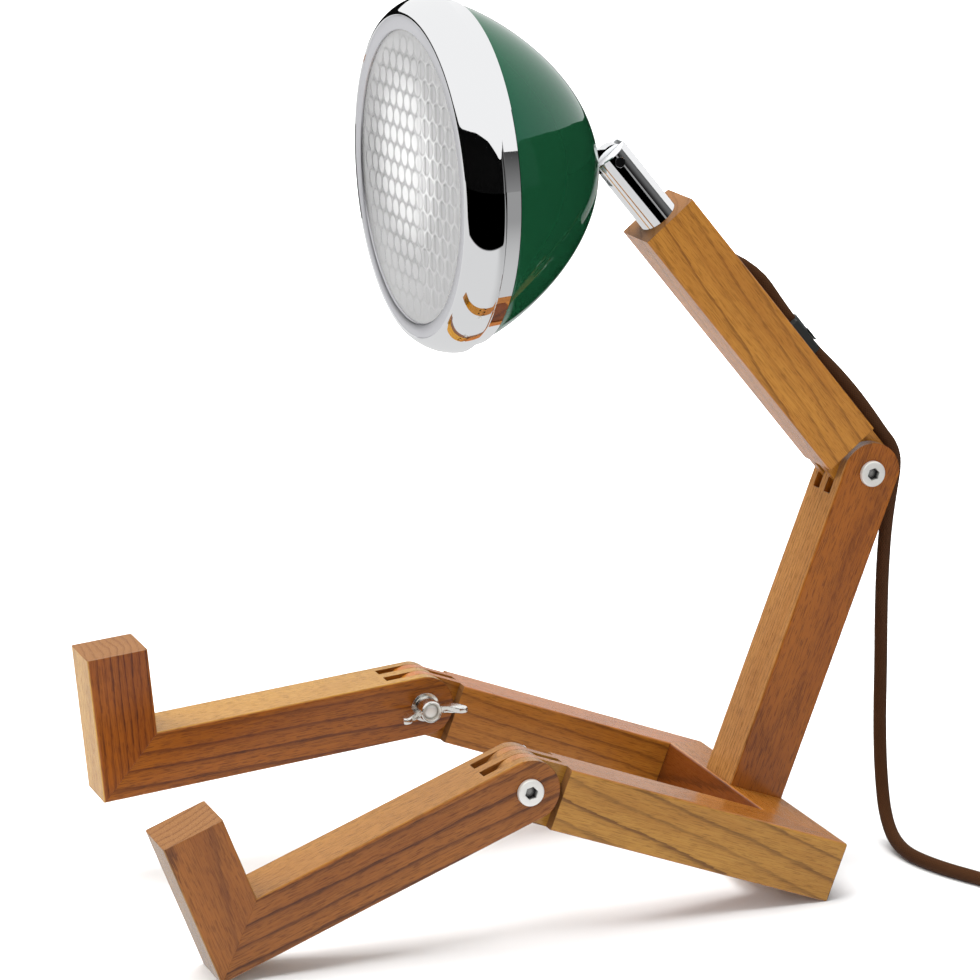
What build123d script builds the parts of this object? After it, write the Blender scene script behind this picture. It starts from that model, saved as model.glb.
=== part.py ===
from build123d import *
from math import asin, atan2, cos, degrees, hypot, pi, radians, sin, sqrt, tan
import os

os.makedirs("parts", exist_ok=True)

# ---------------------------------------------------------------- dimensions, mm
# wooden frame
BAR = 25.0
HALF = BAR / 2
EDGE = 1.0
HIP_WIDTH = 143.0
CROSS_DEPTH = 27.5
KNEE_REACH = 140.4
POST_LENGTH = 139.0
UPPER_LENGTH = 142.0
SHIN_LENGTH = 138.0
FOOT_HEIGHT = 60.0

# attitudes in degrees; a lean is measured from vertical towards the front
HIP_PITCH = 20.8
WAIST_BEND = 60.15
RIGHT_SLOPE = 5.3
HEAD_LEAN = 91.2

# finger joints: five layers across a bar
LAYER = 5.0
TONGUE = 4.7
SHOULDER = 14.0
SLOT_DEPTH = 13.5

# joint hardware
BOLT_R = 3.0
BOLT_HEAD_R = 5.3
BOLT_HEAD_H = 2.0
HEX_FLAT_R = 2.0
HEX_DEPTH = 1.3
RUN_FIT = 0.05
WASHER_R = 6.0
WASHER_H = 1.0
NUT_R = 4.65
NUT_H = 8.0
NUT_MOUTH_R = 3.85
BOLT_TIP_BELOW_NUT = 0.9
WING_THICK = 2.6
WING_LEAN = 95.0
# half outline of the wings: reach, height over the washer, corner radius
WING_OUTLINE = (
    (0, 1.2, 1.2),
    (7.0, 2.4, 2.0),
    (13.2, 8.0, 1.4),
    (14.0, 12.6, 1.2),
    (10.4, 13.2, 1.2),
    (7.2, 7.4, 0.4),
    (0, 6.4, 0.4),
)

# post screw
SCREW_R = 2.5
SCREW_HEAD_R = 5.0
SCREW_HEAD_H = 3.0
SCREW_IN_POST = 34.0

# neck tube and knuckle
NECK_R = 7.85
NECK_BORE_R = 5.0
NECK_SET_IN = 12.0
NECK_OUT = 34.5
NECK_SLOT_W = 6.0
NECK_SLOT_FROM = 23.5
NECK_BACK_WALL = 1.05
NECK_CHAMFER = 0.5
SLOT_FLOOR = 1.0
PIVOT_OUT = 30.5
PIN_R = 2.0
TONGUE_R = 6.5
TONGUE_W = 5.8
TONGUE_ARM = 9.6
COLLAR_R = 6.0
COLLAR_FROM = 9.2

# head, distances along its axis from the tilt pivot
APEX = 9.8
CROWN_FLAT = 10.3
BOWL_END = 64.1
BOWL_R = 65.5
BOWL_POWER = 1.2
BOWL_SPREAD = 1.5
BOWL_LAST_ANGLE = 84.0
SHELL = 1.2
CROWN_R = 6.8
CROWN_WALL = 1.5
STEM_R = 4.0
STEM_BORE_R = 2.2
STEM_END = 25.0
FLANGE = 85.1
FLANGE_R = 63.0
BAND_FROM = 71.3
BAND_R = 69.0
STEP_AT = 70.7
STEP_R = 67.0
STEP_BACK_R = 66.5
STEP_RISE = 1.2
RING_WALL = 1.2
BEZEL_HOLE_R = 56.5
BEZEL_H = 1.0
LENS_R = 61.0
LENS_EDGE_H = 3.0
LENS_DOME = 1.0
LENS_DOME_R = 56.0
GASKET_H = 1.5
GASKET_W = 3.0
REFLECTOR_WALL = 0.8
REFLECTOR_HOLE_R = 14.0
REFLECTOR_BACK = 36.0
# points on the bowl of the reflector: distance behind its mouth, radius
REFLECTOR_FRONT = ((0, 57.0), (14.0, 49.0), (28.0, 36.0))
REFLECTOR_REAR = ((28.6, 36.8), (14.5, 49.9), (0.8, 57.7))
CLIP_COUNT = 3
CLIP_W = 10.0
CLIP_H = 1.0
CLIP_REACH = 8.5
CLIP_GRIP = 2.5
STEM_NUT_FLAT_R = 6.5
STEM_NUT_H = 5.0
HOLDER_R = 13.0
HOLDER_END = 42.0
HOLDER_FLAT = 11.0
BULB_R = 9.0
BULB_LENGTH = 24.0
BULB_ROUND = 8.0
BULB_SEAT = 2.0
STEM_CLEARANCE = 1.0
DIMMER_W = 22.0
DIMMER_H = 8.0
DIMMER_LENGTH = 15.0
DIMMER_AT = 1.5

# cord, bush and clip
CORD_D = 5.5
CORD_R = CORD_D / 2
FLOOR_Z = CORD_R + 0.05
BUSH_R = 4.0
BUSH_BORE_R = 2.8
BUSH_LENGTH = 9.0
EXIT_FROM_END = 34.0
EXIT_MEETS_AXIS_FROM_END = 14.0
EXIT_RUN = 8.0
EXIT_RISE = 5.0
LEAD_R = 2.0
LEAD_SHORT = 0.5
CLIP_FROM = 54.0
CLIP_TO = 70.0
CLIP_ARCH_FROM = 62.0
CLIP_WALL_H = 4.2
CLIP_OUTER_X = 6.5
CLIP_ARCH_R = 3.5
CLIP_ARCH_BELOW = 1.0
CLIP_TAIL_INSET = 1.5
CLIP_TAIL_FRONT = (4.0, 0.7, 0.35)
CLIP_TAIL_END = (2.4, 0.5, 0.1)
CLIP_EASE = 0.5
CLIP_CORD_N = 2.95

# put-away coil and plug
COIL_INNER_R = 22.7
COIL_OUTER_R = 39.3
COIL_H = 16.5
COIL_X = 95.0
COIL_BEHIND = 60.2
COIL_ARRIVAL = 30.0
STUB_REACH = 24.0
LAST_RUN = 14.0
RELIEF_LENGTH = 25.0
RELIEF_R = 4.5
RELIEF_LIP = 1.0
PLUG_LENGTH = 36.0
PLUG_W = 26.0
PLUG_H = 14.0
PLUG_EDGE = 3.0
PLUG_NECK = 0.6
PIN_R_MAINS = 2.0
PIN_TIP = 1.0
PIN_LENGTH = 19.0
PIN_SPACING = 19.0
PLUG_STUB_INSET = 3.3


# ---------------------------------------------------------------- planes
def side_plane(point, lean, x=0.0):
    """Side view: local x runs along the bar, local y to its top or back, normal to -X."""
    along = (0, -sin(radians(lean)), cos(radians(lean)))
    return Plane(origin=(x, point.Y, point.Z), x_dir=along, z_dir=(-1, 0, 0))


def bar_plane(point, lean, x=0.0):
    """Cross section: local x is X, local y the bar's top or back, normal along the bar."""
    along = (0, -sin(radians(lean)), cos(radians(lean)))
    return Plane(origin=(x, point.Y, point.Z), x_dir=(1, 0, 0), z_dir=along)


def at(plane, along, up=0.0):
    """World point at a distance along and above the start of a side plane."""
    return plane.from_local_coords(Vector(along, up, 0))


# ---------------------------------------------------------------- skeleton
# the hip stands on its rounded rear bottom edge
hip_lean = 90.0 - HIP_PITCH
post_lean = -HIP_PITCH
upper_lean = post_lean + WAIST_BEND
pitch = radians(HIP_PITCH)
edge_lift = EDGE * (sin(pitch) + cos(pitch) - 1)

knee_height = KNEE_REACH * sin(pitch) + HALF * cos(pitch) - edge_lift
heel_reach = hypot(SHIN_LENGTH, HALF)
left_slope = degrees(asin(knee_height / heel_reach) - atan2(HALF, SHIN_LENGTH))
left_lean = 90.0 + left_slope
right_lean = 90.0 + RIGHT_SLOPE

# front-most point is the left toe, rear-most the round end of the post
toe_reach = SHIN_LENGTH * cos(radians(left_slope)) + (FOOT_HEIGHT - HALF) * sin(radians(left_slope))
front = KNEE_REACH * cos(pitch) - HALF * sin(pitch) + toe_reach
waist_back = (BAR + POST_LENGTH) * sin(pitch) - CROSS_DEPTH / 2 * cos(pitch)
rear = waist_back + HALF
hip_y = (front - rear) / 2

hip = side_plane(Vector(0, hip_y, -edge_lift), hip_lean)
knee = at(hip, KNEE_REACH, HALF)
post_foot = at(hip, CROSS_DEPTH / 2, BAR)
waist = at(side_plane(post_foot, post_lean), POST_LENGTH)
post = side_plane(waist, post_lean)
upper = side_plane(waist, upper_lean)
pivot = at(upper, UPPER_LENGTH + PIVOT_OUT)
head = side_plane(pivot, HEAD_LEAN)
head_axis = Axis(head.origin, head.x_dir)
knee_x = HIP_WIDTH / 2 - HALF

print("left knee bend", round(HIP_PITCH + left_slope, 2), "right", round(HIP_PITCH + RIGHT_SLOPE, 2))
print("knee", knee, "waist", waist, "pivot", pivot, "hip", hip.origin)


def layer_x(index):
    """X of the middle of a finger layer, counted from the -X face of a bar."""
    return (index - 2) * LAYER


# ---------------------------------------------------------------- hip frame
plan = Plane(origin=at(hip, 0, BAR), x_dir=(1, 0, 0), z_dir=-hip.y_dir)
outer_x = HIP_WIDTH / 2
inner_x = outer_x - BAR

with BuildPart() as cross_bar:
    with BuildSketch(Plane(origin=at(hip, CROSS_DEPTH / 2, HALF), x_dir=hip.x_dir, z_dir=(-1, 0, 0))):
        RectangleRounded(CROSS_DEPTH, BAR, EDGE)
    extrude(amount=outer_x, both=True)
    with BuildSketch(plan):
        for side in (-1, 1):
            with BuildLine():
                Polyline(
                    (side * outer_x, 0),
                    (side * outer_x, CROSS_DEPTH),
                    (side * inner_x, CROSS_DEPTH),
                    close=True,
                )
            make_face()
    extrude(amount=BAR, mode=Mode.SUBTRACT)
    with BuildSketch(bar_plane(post_foot, post_lean)):
        Circle(SCREW_R)
    extrude(amount=-BAR, mode=Mode.SUBTRACT)
    with BuildSketch(bar_plane(post_foot, post_lean).offset(-BAR)):
        Circle(SCREW_HEAD_R + RUN_FIT)
    with BuildSketch(bar_plane(post_foot, post_lean).offset(SCREW_HEAD_H - BAR)):
        Circle(SCREW_R + RUN_FIT)
    loft(mode=Mode.SUBTRACT)
cross_bar.part.label = "cross_bar"
export_step(cross_bar.part, "parts/cross_bar.step")

for side, name in ((1, "left"), (-1, "right")):
    thigh_side = Plane(
        origin=(side * knee_x, hip.origin.Y, hip.origin.Z), x_dir=hip.x_dir, z_dir=(-1, 0, 0)
    )
    with BuildPart() as thigh:
        with BuildSketch(bar_plane(at(hip, 0, HALF), hip_lean, side * knee_x)):
            RectangleRounded(BAR, BAR, EDGE)
        extrude(amount=KNEE_REACH - SHOULDER)
        with BuildSketch(plan):
            with BuildLine():
                Polyline(
                    (side * outer_x, 0),
                    (side * inner_x, 0),
                    (side * inner_x, CROSS_DEPTH),
                    close=True,
                )
            make_face()
        extrude(amount=BAR, mode=Mode.SUBTRACT)
        for index in (1, 3):
            with BuildSketch(thigh_side.offset(-layer_x(index))):
                with Locations((KNEE_REACH - SHOULDER / 2 - EDGE / 2, HALF)):
                    Rectangle(SHOULDER + EDGE, BAR)
                with Locations((KNEE_REACH, HALF)):
                    Circle(HALF)
            extrude(amount=TONGUE / 2, both=True)
        with BuildSketch(thigh_side):
            with Locations((KNEE_REACH, HALF)):
                Circle(BOLT_R + RUN_FIT)
        extrude(amount=BAR, both=True, mode=Mode.SUBTRACT)
    thigh.part.label = f"{name}_thigh"
    export_step(thigh.part, f"parts/{name}_thigh.step")

with BuildPart() as post_bar:
    with BuildSketch(bar_plane(post_foot, post_lean)):
        RectangleRounded(BAR, BAR, EDGE)
    extrude(amount=POST_LENGTH + HALF)
    with BuildSketch(post):
        with Locations((HALF / 2, 0)):
            Rectangle(HALF, BAR)
        Circle(HALF, mode=Mode.SUBTRACT)
    extrude(amount=BAR, both=True, mode=Mode.SUBTRACT)
    for index in (1, 3):
        with BuildSketch(post.offset(-layer_x(index))):
            with Locations(((HALF - SLOT_DEPTH) / 2, 0)):
                Rectangle(HALF + SLOT_DEPTH, BAR)
        extrude(amount=LAYER / 2, both=True, mode=Mode.SUBTRACT)
    with BuildSketch(post):
        Circle(BOLT_R + RUN_FIT)
    extrude(amount=BAR, both=True, mode=Mode.SUBTRACT)
    with BuildSketch(bar_plane(post_foot, post_lean)):
        Circle(SCREW_R + RUN_FIT)
    extrude(amount=SCREW_IN_POST + RUN_FIT, mode=Mode.SUBTRACT)
post_bar.part.label = "post"
export_step(post_bar.part, "parts/post.step")

with BuildPart() as post_screw:
    with BuildSketch(bar_plane(post_foot, post_lean).offset(-BAR)):
        Circle(SCREW_R)
    extrude(amount=BAR + SCREW_IN_POST)
    with BuildSketch(bar_plane(post_foot, post_lean).offset(-BAR)):
        Circle(SCREW_HEAD_R)
    with BuildSketch(bar_plane(post_foot, post_lean).offset(SCREW_HEAD_H - BAR)):
        Circle(SCREW_R)
    loft()
    with BuildSketch(bar_plane(post_foot, post_lean).offset(-BAR)):
        RegularPolygon(HEX_FLAT_R, 6, major_radius=False)
    extrude(amount=HEX_DEPTH, mode=Mode.SUBTRACT)
post_screw.part.label = "post_screw"
export_step(post_screw.part, "parts/post_screw.step")

# ---------------------------------------------------------------- shins and feet
for side, name, lean in ((1, "left", left_lean), (-1, "right", right_lean)):
    shin_side = side_plane(knee, lean, side * knee_x)
    with BuildPart() as shin:
        with BuildSketch(bar_plane(at(shin_side, -HALF), lean, side * knee_x)):
            RectangleRounded(BAR, BAR, EDGE)
        extrude(amount=HALF + SHIN_LENGTH)
        with BuildSketch(shin_side):
            with Locations((-HALF / 2, 0)):
                Rectangle(HALF, BAR)
            Circle(HALF, mode=Mode.SUBTRACT)
        extrude(amount=BAR, both=True, mode=Mode.SUBTRACT)
        for index in (1, 3):
            with BuildSketch(shin_side.offset(-layer_x(index))):
                with Locations(((SLOT_DEPTH - HALF) / 2, 0)):
                    Rectangle(HALF + SLOT_DEPTH, BAR)
            extrude(amount=LAYER / 2, both=True, mode=Mode.SUBTRACT)
        with BuildSketch(shin_side):
            Circle(BOLT_R + RUN_FIT)
        extrude(amount=BAR, both=True, mode=Mode.SUBTRACT)
        with BuildSketch(shin_side):
            with BuildLine():
                Polyline(
                    (SHIN_LENGTH, -HALF),
                    (SHIN_LENGTH, HALF),
                    (SHIN_LENGTH - BAR, HALF),
                    close=True,
                )
            make_face()
        extrude(amount=BAR, both=True, mode=Mode.SUBTRACT)
    shin.part.label = f"{name}_shin"
    export_step(shin.part, f"parts/{name}_shin.step")

    with BuildPart() as foot:
        with BuildSketch(bar_plane(at(shin_side, SHIN_LENGTH - HALF, -HALF), lean - 90, side * knee_x)):
            RectangleRounded(BAR, BAR, EDGE)
        extrude(amount=FOOT_HEIGHT)
        with BuildSketch(shin_side):
            with BuildLine():
                Polyline(
                    (SHIN_LENGTH, -HALF),
                    (SHIN_LENGTH - BAR, -HALF),
                    (SHIN_LENGTH - BAR, HALF),
                    close=True,
                )
            make_face()
        extrude(amount=BAR, both=True, mode=Mode.SUBTRACT)
    foot.part.label = f"{name}_foot"
    export_step(foot.part, f"parts/{name}_foot.step")

# ---------------------------------------------------------------- joint bolts, washers, wing nuts
nut_face = BAR + WASHER_H
bolt_end = nut_face + NUT_H - BOLT_TIP_BELOW_NUT
bolt_sets = (
    ("left_knee", knee, 1, outer_x, WING_LEAN + left_lean - right_lean),
    ("right_knee", knee, -1, -outer_x, WING_LEAN),
    ("waist", waist, 1, HALF, post_lean),
)
for name, centre, facing, face_x, wing_lean in bolt_sets:
    # local z points out of the head; the turn gives the wings their rest direction
    wing_along = (0, -sin(radians(wing_lean)), cos(radians(wing_lean)))
    seat = Plane(origin=(face_x, centre.Y, centre.Z), x_dir=wing_along, z_dir=(facing, 0, 0))
    with BuildPart() as bolt:
        with BuildSketch(seat):
            Circle(BOLT_HEAD_R)
        extrude(amount=BOLT_HEAD_H)
        fillet(bolt.edges().group_by(Axis(seat.origin, seat.z_dir))[-1], BOLT_HEAD_H / 4)
        with BuildSketch(seat):
            Circle(BOLT_R)
        extrude(amount=-bolt_end)
        fillet(bolt.edges().group_by(Axis(seat.origin, seat.z_dir))[0], BOLT_R / 2)
        with BuildSketch(seat.offset(BOLT_HEAD_H)):
            RegularPolygon(HEX_FLAT_R, 6, major_radius=False)
        extrude(amount=-HEX_DEPTH, mode=Mode.SUBTRACT)
    bolt.part.label = f"{name}_bolt"
    export_step(bolt.part, f"parts/{name}_bolt.step")

    with BuildPart() as washer:
        with BuildSketch(seat.offset(-BAR)):
            Circle(WASHER_R)
            Circle(BOLT_R + RUN_FIT, mode=Mode.SUBTRACT)
        extrude(amount=-WASHER_H)
    washer.part.label = f"{name}_washer"
    export_step(washer.part, f"parts/{name}_washer.step")

    nut_base = seat.offset(-nut_face)
    ear_plane = Plane(origin=nut_base.origin, x_dir=wing_along, z_dir=seat.y_dir)
    out = 1 if ear_plane.y_dir.dot(seat.z_dir) < 0 else -1
    with BuildPart() as wing_nut:
        with BuildSketch(nut_base):
            Circle(NUT_R)
        extrude(amount=-NUT_H)
        with BuildSketch(ear_plane):
            for way in (-1, 1):
                corners = [(way * reach, out * height) for reach, height, bend in WING_OUTLINE]
                with BuildLine():
                    FilletPolyline(*corners, radius=[bend for reach, height, bend in WING_OUTLINE], close=True)
                make_face()
        extrude(amount=WING_THICK / 2, both=True)
        with BuildSketch(nut_base):
            Circle(BOLT_R + RUN_FIT)
        extrude(amount=-NUT_H, mode=Mode.SUBTRACT)
        with BuildSketch(nut_base.offset(-NUT_H)):
            Circle(NUT_MOUTH_R)
        extrude(amount=BOLT_TIP_BELOW_NUT, taper=30, mode=Mode.SUBTRACT)
    wing_nut.part.label = f"{name}_wing_nut"
    export_step(wing_nut.part, f"parts/{name}_wing_nut.step")

# ---------------------------------------------------------------- upper bar, neck tube, cord outlet
exit_at = UPPER_LENGTH - EXIT_FROM_END
meets_axis_at = UPPER_LENGTH - EXIT_MEETS_AXIS_FROM_END
exit_angle = atan2(HALF, meets_axis_at - exit_at)
exit_point = at(upper, exit_at, HALF)
outlet = Plane(
    origin=exit_point,
    x_dir=(1, 0, 0),
    z_dir=upper.x_dir * cos(exit_angle) - upper.y_dir * sin(exit_angle),
)
outlet_length = hypot(HALF, meets_axis_at - exit_at)

with BuildPart() as upper_bar:
    with BuildSketch(bar_plane(at(upper, SHOULDER), upper_lean)):
        RectangleRounded(BAR, BAR, EDGE)
    extrude(amount=UPPER_LENGTH - SHOULDER)
    for index in (1, 3):
        with BuildSketch(upper.offset(-layer_x(index))):
            with Locations(((SHOULDER + EDGE) / 2, 0)):
                Rectangle(SHOULDER + EDGE, BAR)
            Circle(HALF)
        extrude(amount=TONGUE / 2, both=True)
    with BuildSketch(upper):
        Circle(BOLT_R + RUN_FIT)
    extrude(amount=BAR, both=True, mode=Mode.SUBTRACT)
    with BuildSketch(bar_plane(at(upper, UPPER_LENGTH), upper_lean)):
        Circle(NECK_R + RUN_FIT)
    extrude(amount=-NECK_SET_IN, mode=Mode.SUBTRACT)
    with BuildSketch(bar_plane(at(upper, UPPER_LENGTH - NECK_SET_IN), upper_lean)):
        Circle(BUSH_R)
    extrude(amount=-(EXIT_MEETS_AXIS_FROM_END - NECK_SET_IN), mode=Mode.SUBTRACT)
    with BuildSketch(outlet.offset(-BAR)):
        Circle(BUSH_R + RUN_FIT)
    extrude(amount=BAR + outlet_length, mode=Mode.SUBTRACT)
    with BuildSketch(outlet.offset(outlet_length)):
        Circle(BUSH_R)
    extrude(amount=BUSH_R, taper=30, mode=Mode.SUBTRACT)
upper_bar.part.label = "upper_bar"
export_step(upper_bar.part, "parts/upper_bar.step")

with BuildPart() as neck_tube:
    with BuildSketch(bar_plane(at(upper, UPPER_LENGTH - NECK_SET_IN), upper_lean)):
        Circle(NECK_R)
    extrude(amount=NECK_SET_IN + NECK_OUT)
    with BuildSketch(bar_plane(at(upper, UPPER_LENGTH - NECK_SET_IN), upper_lean)):
        Circle(NECK_BORE_R)
    extrude(amount=NECK_SET_IN + NECK_SLOT_FROM - SLOT_FLOOR, mode=Mode.SUBTRACT)
    chamfer(neck_tube.edges().group_by(Axis(upper.origin, upper.x_dir))[-1], NECK_CHAMFER)
    with BuildSketch(side_plane(at(upper, UPPER_LENGTH), upper_lean)):
        with Locations((NECK_SLOT_FROM + NECK_OUT / 2, -NECK_BACK_WALL)):
            Rectangle(NECK_OUT, 2 * NECK_R)
    extrude(amount=NECK_SLOT_W / 2, both=True, mode=Mode.SUBTRACT)
    with BuildSketch(bar_plane(at(upper, UPPER_LENGTH), upper_lean)):
        Circle(LEAD_R + RUN_FIT)
    extrude(amount=NECK_SLOT_FROM + SLOT_FLOOR, mode=Mode.SUBTRACT)
    with BuildSketch(side_plane(pivot, upper_lean)):
        Circle(PIN_R + RUN_FIT)
    extrude(amount=2 * NECK_R, both=True, mode=Mode.SUBTRACT)
neck_tube.part.label = "neck_tube"
export_step(neck_tube.part, "parts/neck_tube.step")

with BuildPart() as knuckle_pin:
    with BuildSketch(side_plane(pivot, upper_lean)):
        Circle(PIN_R)
    extrude(amount=sqrt(NECK_R**2 - PIN_R**2), both=True)
knuckle_pin.part.label = "knuckle_pin"
export_step(knuckle_pin.part, "parts/knuckle_pin.step")

# the bush stops where its rim just reaches the back face
with BuildPart() as cord_bush:
    with BuildSketch(outlet.offset(BUSH_R / tan(exit_angle))):
        Circle(BUSH_R)
        Circle(BUSH_BORE_R, mode=Mode.SUBTRACT)
    extrude(amount=BUSH_LENGTH)
cord_bush.part.label = "cord_bush"
export_step(cord_bush.part, "parts/cord_bush.step")

# ---------------------------------------------------------------- head
crown_plane = bar_plane(at(head, CROWN_FLAT), HEAD_LEAN)


def bowl_curve(depth, radius, count=14):
    """Points of the bowl's profile from its rim to just short of its apex."""
    points = []
    for step in range(count):
        back = sin(radians(BOWL_LAST_ANGLE * step / (count - 1))) ** BOWL_SPREAD
        points.append((BOWL_END - depth * back, radius * sqrt(1 - back**BOWL_POWER)))
    return points


with BuildPart() as bowl:
    for depth, radius, way in (
        (BOWL_END - APEX, BOWL_R, Mode.ADD),
        (BOWL_END - APEX - SHELL, BOWL_R - SHELL, Mode.SUBTRACT),
    ):
        with BuildSketch(head):
            with BuildLine():
                curve = Spline(*bowl_curve(depth, radius), (BOWL_END - depth, 0))
                Polyline(curve @ 1, (BOWL_END, 0), curve @ 0)
            make_face()
        revolve(axis=head_axis, mode=way)
    with BuildSketch(crown_plane):
        Circle(2 * CROWN_R)
    extrude(amount=-SHELL, mode=Mode.SUBTRACT)
    with BuildSketch(crown_plane):
        Circle(CROWN_R)
    extrude(amount=CROWN_WALL)
    with BuildSketch(crown_plane):
        Circle(STEM_R + RUN_FIT)
    extrude(amount=CROWN_WALL, mode=Mode.SUBTRACT)
bowl.part.label = "bowl"
export_step(bowl.part, "parts/bowl.step")

# the wide band leaves its largest radius along the axis and curves in to the front flange
band_drop = BAND_R - FLANGE_R
band_run = FLANGE - BAND_FROM
band_curve_r = (band_run**2 + band_drop**2) / (2 * band_drop)
half_sweep = asin(band_run / band_curve_r) / 2


def band_mid(curve_r):
    """Middle of the band's arc for a given curve radius about the same centre."""
    along = BAND_FROM + curve_r * sin(half_sweep)
    return (along, BAND_R - band_curve_r + curve_r * cos(half_sweep))


with BuildPart() as trim_ring:
    with BuildSketch(head):
        with BuildLine():
            Polyline(
                (BOWL_END, STEP_BACK_R),
                (STEP_AT, STEP_R),
                (STEP_AT, STEP_R + STEP_RISE),
                (BAND_FROM, BAND_R),
            )
            ThreePointArc((BAND_FROM, BAND_R), band_mid(band_curve_r), (FLANGE, FLANGE_R))
            Polyline(
                (FLANGE, FLANGE_R),
                (FLANGE, FLANGE_R - RING_WALL),
                (FLANGE - RING_WALL, FLANGE_R - RING_WALL),
            )
            ThreePointArc(
                (FLANGE - RING_WALL, FLANGE_R - RING_WALL),
                band_mid(band_curve_r - RING_WALL),
                (BAND_FROM, BAND_R - RING_WALL),
            )
            Polyline(
                (BAND_FROM, BAND_R - RING_WALL),
                (STEP_AT, STEP_R - RING_WALL),
                (BOWL_END, STEP_BACK_R - RING_WALL),
                (BOWL_END, STEP_BACK_R),
            )
        make_face()
    revolve(axis=head_axis)
trim_ring.part.label = "trim_ring"
export_step(trim_ring.part, "parts/trim_ring.step")

bezel_back = FLANGE - RING_WALL
with BuildPart() as bezel:
    with BuildSketch(bar_plane(at(head, bezel_back), HEAD_LEAN)):
        Circle(FLANGE_R - RING_WALL)
        Circle(BEZEL_HOLE_R, mode=Mode.SUBTRACT)
    extrude(amount=BEZEL_H)
bezel.part.label = "bezel"
export_step(bezel.part, "parts/bezel.step")

with BuildPart() as lens:
    with BuildSketch(head):
        with BuildLine():
            Polyline((bezel_back, LENS_DOME_R), (bezel_back, LENS_R), (bezel_back - LENS_EDGE_H, LENS_R))
            Polyline(
                (bezel_back - LENS_EDGE_H, LENS_R),
                (bezel_back - LENS_EDGE_H, 0),
                (bezel_back + LENS_DOME, 0),
            )
            RadiusArc(
                (bezel_back + LENS_DOME, 0),
                (bezel_back, LENS_DOME_R),
                -(LENS_DOME_R**2 + LENS_DOME**2) / (2 * LENS_DOME),
            )
        make_face()
    revolve(axis=head_axis)
lens.part.label = "lens"
export_step(lens.part, "parts/lens.step")

gasket_front = bezel_back - LENS_EDGE_H
with BuildPart() as lens_gasket:
    with BuildSketch(bar_plane(at(head, gasket_front), HEAD_LEAN)):
        Circle(LENS_R)
        Circle(LENS_R - GASKET_W, mode=Mode.SUBTRACT)
    extrude(amount=-GASKET_H)
lens_gasket.part.label = "lens_gasket"
export_step(lens_gasket.part, "parts/lens_gasket.step")

mouth = gasket_front - GASKET_H
with BuildPart() as reflector:
    with BuildSketch(head):
        with BuildLine():
            front = [(mouth - behind, radius) for behind, radius in REFLECTOR_FRONT]
            rear_side = [(mouth - behind, radius) for behind, radius in REFLECTOR_REAR]
            Spline(*front, (REFLECTOR_BACK, REFLECTOR_HOLE_R))
            Polyline(
                (REFLECTOR_BACK, REFLECTOR_HOLE_R),
                (REFLECTOR_BACK - REFLECTOR_WALL, REFLECTOR_HOLE_R),
                (REFLECTOR_BACK - REFLECTOR_WALL, REFLECTOR_HOLE_R + REFLECTOR_WALL),
            )
            Spline((REFLECTOR_BACK - REFLECTOR_WALL, REFLECTOR_HOLE_R + REFLECTOR_WALL), *rear_side)
            Polyline(rear_side[-1], (mouth - REFLECTOR_WALL, LENS_R), (mouth, LENS_R), front[0])
        make_face()
    revolve(axis=head_axis)
reflector.part.label = "reflector"
export_step(reflector.part, "parts/reflector.step")

# spring clips reach from the wall of the trim ring to the back of the reflector's rim
clip_back = mouth - REFLECTOR_WALL
with BuildPart() as lens_clips:
    with BuildSketch(bar_plane(at(head, clip_back), HEAD_LEAN)):
        with PolarLocations(LENS_R + CLIP_REACH / 2 - CLIP_GRIP, CLIP_COUNT, start_angle=90):
            Rectangle(CLIP_REACH, CLIP_W)
    extrude(amount=-CLIP_H)
    with BuildSketch(head):
        with BuildLine():
            Polyline(
                (BAND_FROM, BAND_R - RING_WALL),
                (BAND_FROM, BAND_R + CLIP_REACH),
                (FLANGE, BAND_R + CLIP_REACH),
                (FLANGE, FLANGE_R - RING_WALL),
                (FLANGE - RING_WALL, FLANGE_R - RING_WALL),
            )
            ThreePointArc(
                (FLANGE - RING_WALL, FLANGE_R - RING_WALL),
                band_mid(band_curve_r - RING_WALL),
                (BAND_FROM, BAND_R - RING_WALL),
            )
        make_face()
    revolve(axis=head_axis, mode=Mode.SUBTRACT)
lens_clips.part.label = "lens_clips"
export_step(lens_clips.part, "parts/lens_clips.step")

with BuildPart() as knuckle:
    with BuildSketch(head):
        Circle(TONGUE_R)
        with Locations((COLLAR_FROM / 2, 0)):
            Rectangle(COLLAR_FROM, TONGUE_ARM)
        Circle(PIN_R + RUN_FIT, mode=Mode.SUBTRACT)
    extrude(amount=TONGUE_W / 2, both=True)
    with BuildSketch(bar_plane(at(head, COLLAR_FROM), HEAD_LEAN)):
        Circle(COLLAR_R)
    extrude(amount=CROWN_FLAT - COLLAR_FROM)
    with BuildSketch(bar_plane(at(head, CROWN_FLAT), HEAD_LEAN)):
        Circle(STEM_R)
    extrude(amount=STEM_END - CROWN_FLAT)
    with BuildSketch(bar_plane(at(head, STEM_END), HEAD_LEAN)):
        Circle(STEM_BORE_R)
    extrude(amount=-(STEM_END - CROWN_FLAT), mode=Mode.SUBTRACT)
knuckle.part.label = "knuckle"
export_step(knuckle.part, "parts/knuckle.step")

nut_seat = CROWN_FLAT + CROWN_WALL
with BuildPart() as stem_nut:
    with BuildSketch(bar_plane(at(head, nut_seat), HEAD_LEAN)):
        RegularPolygon(STEM_NUT_FLAT_R, 6, major_radius=False)
        Circle(STEM_R + RUN_FIT, mode=Mode.SUBTRACT)
    extrude(amount=STEM_NUT_H)
stem_nut.part.label = "stem_nut"
export_step(stem_nut.part, "parts/stem_nut.step")

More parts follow.
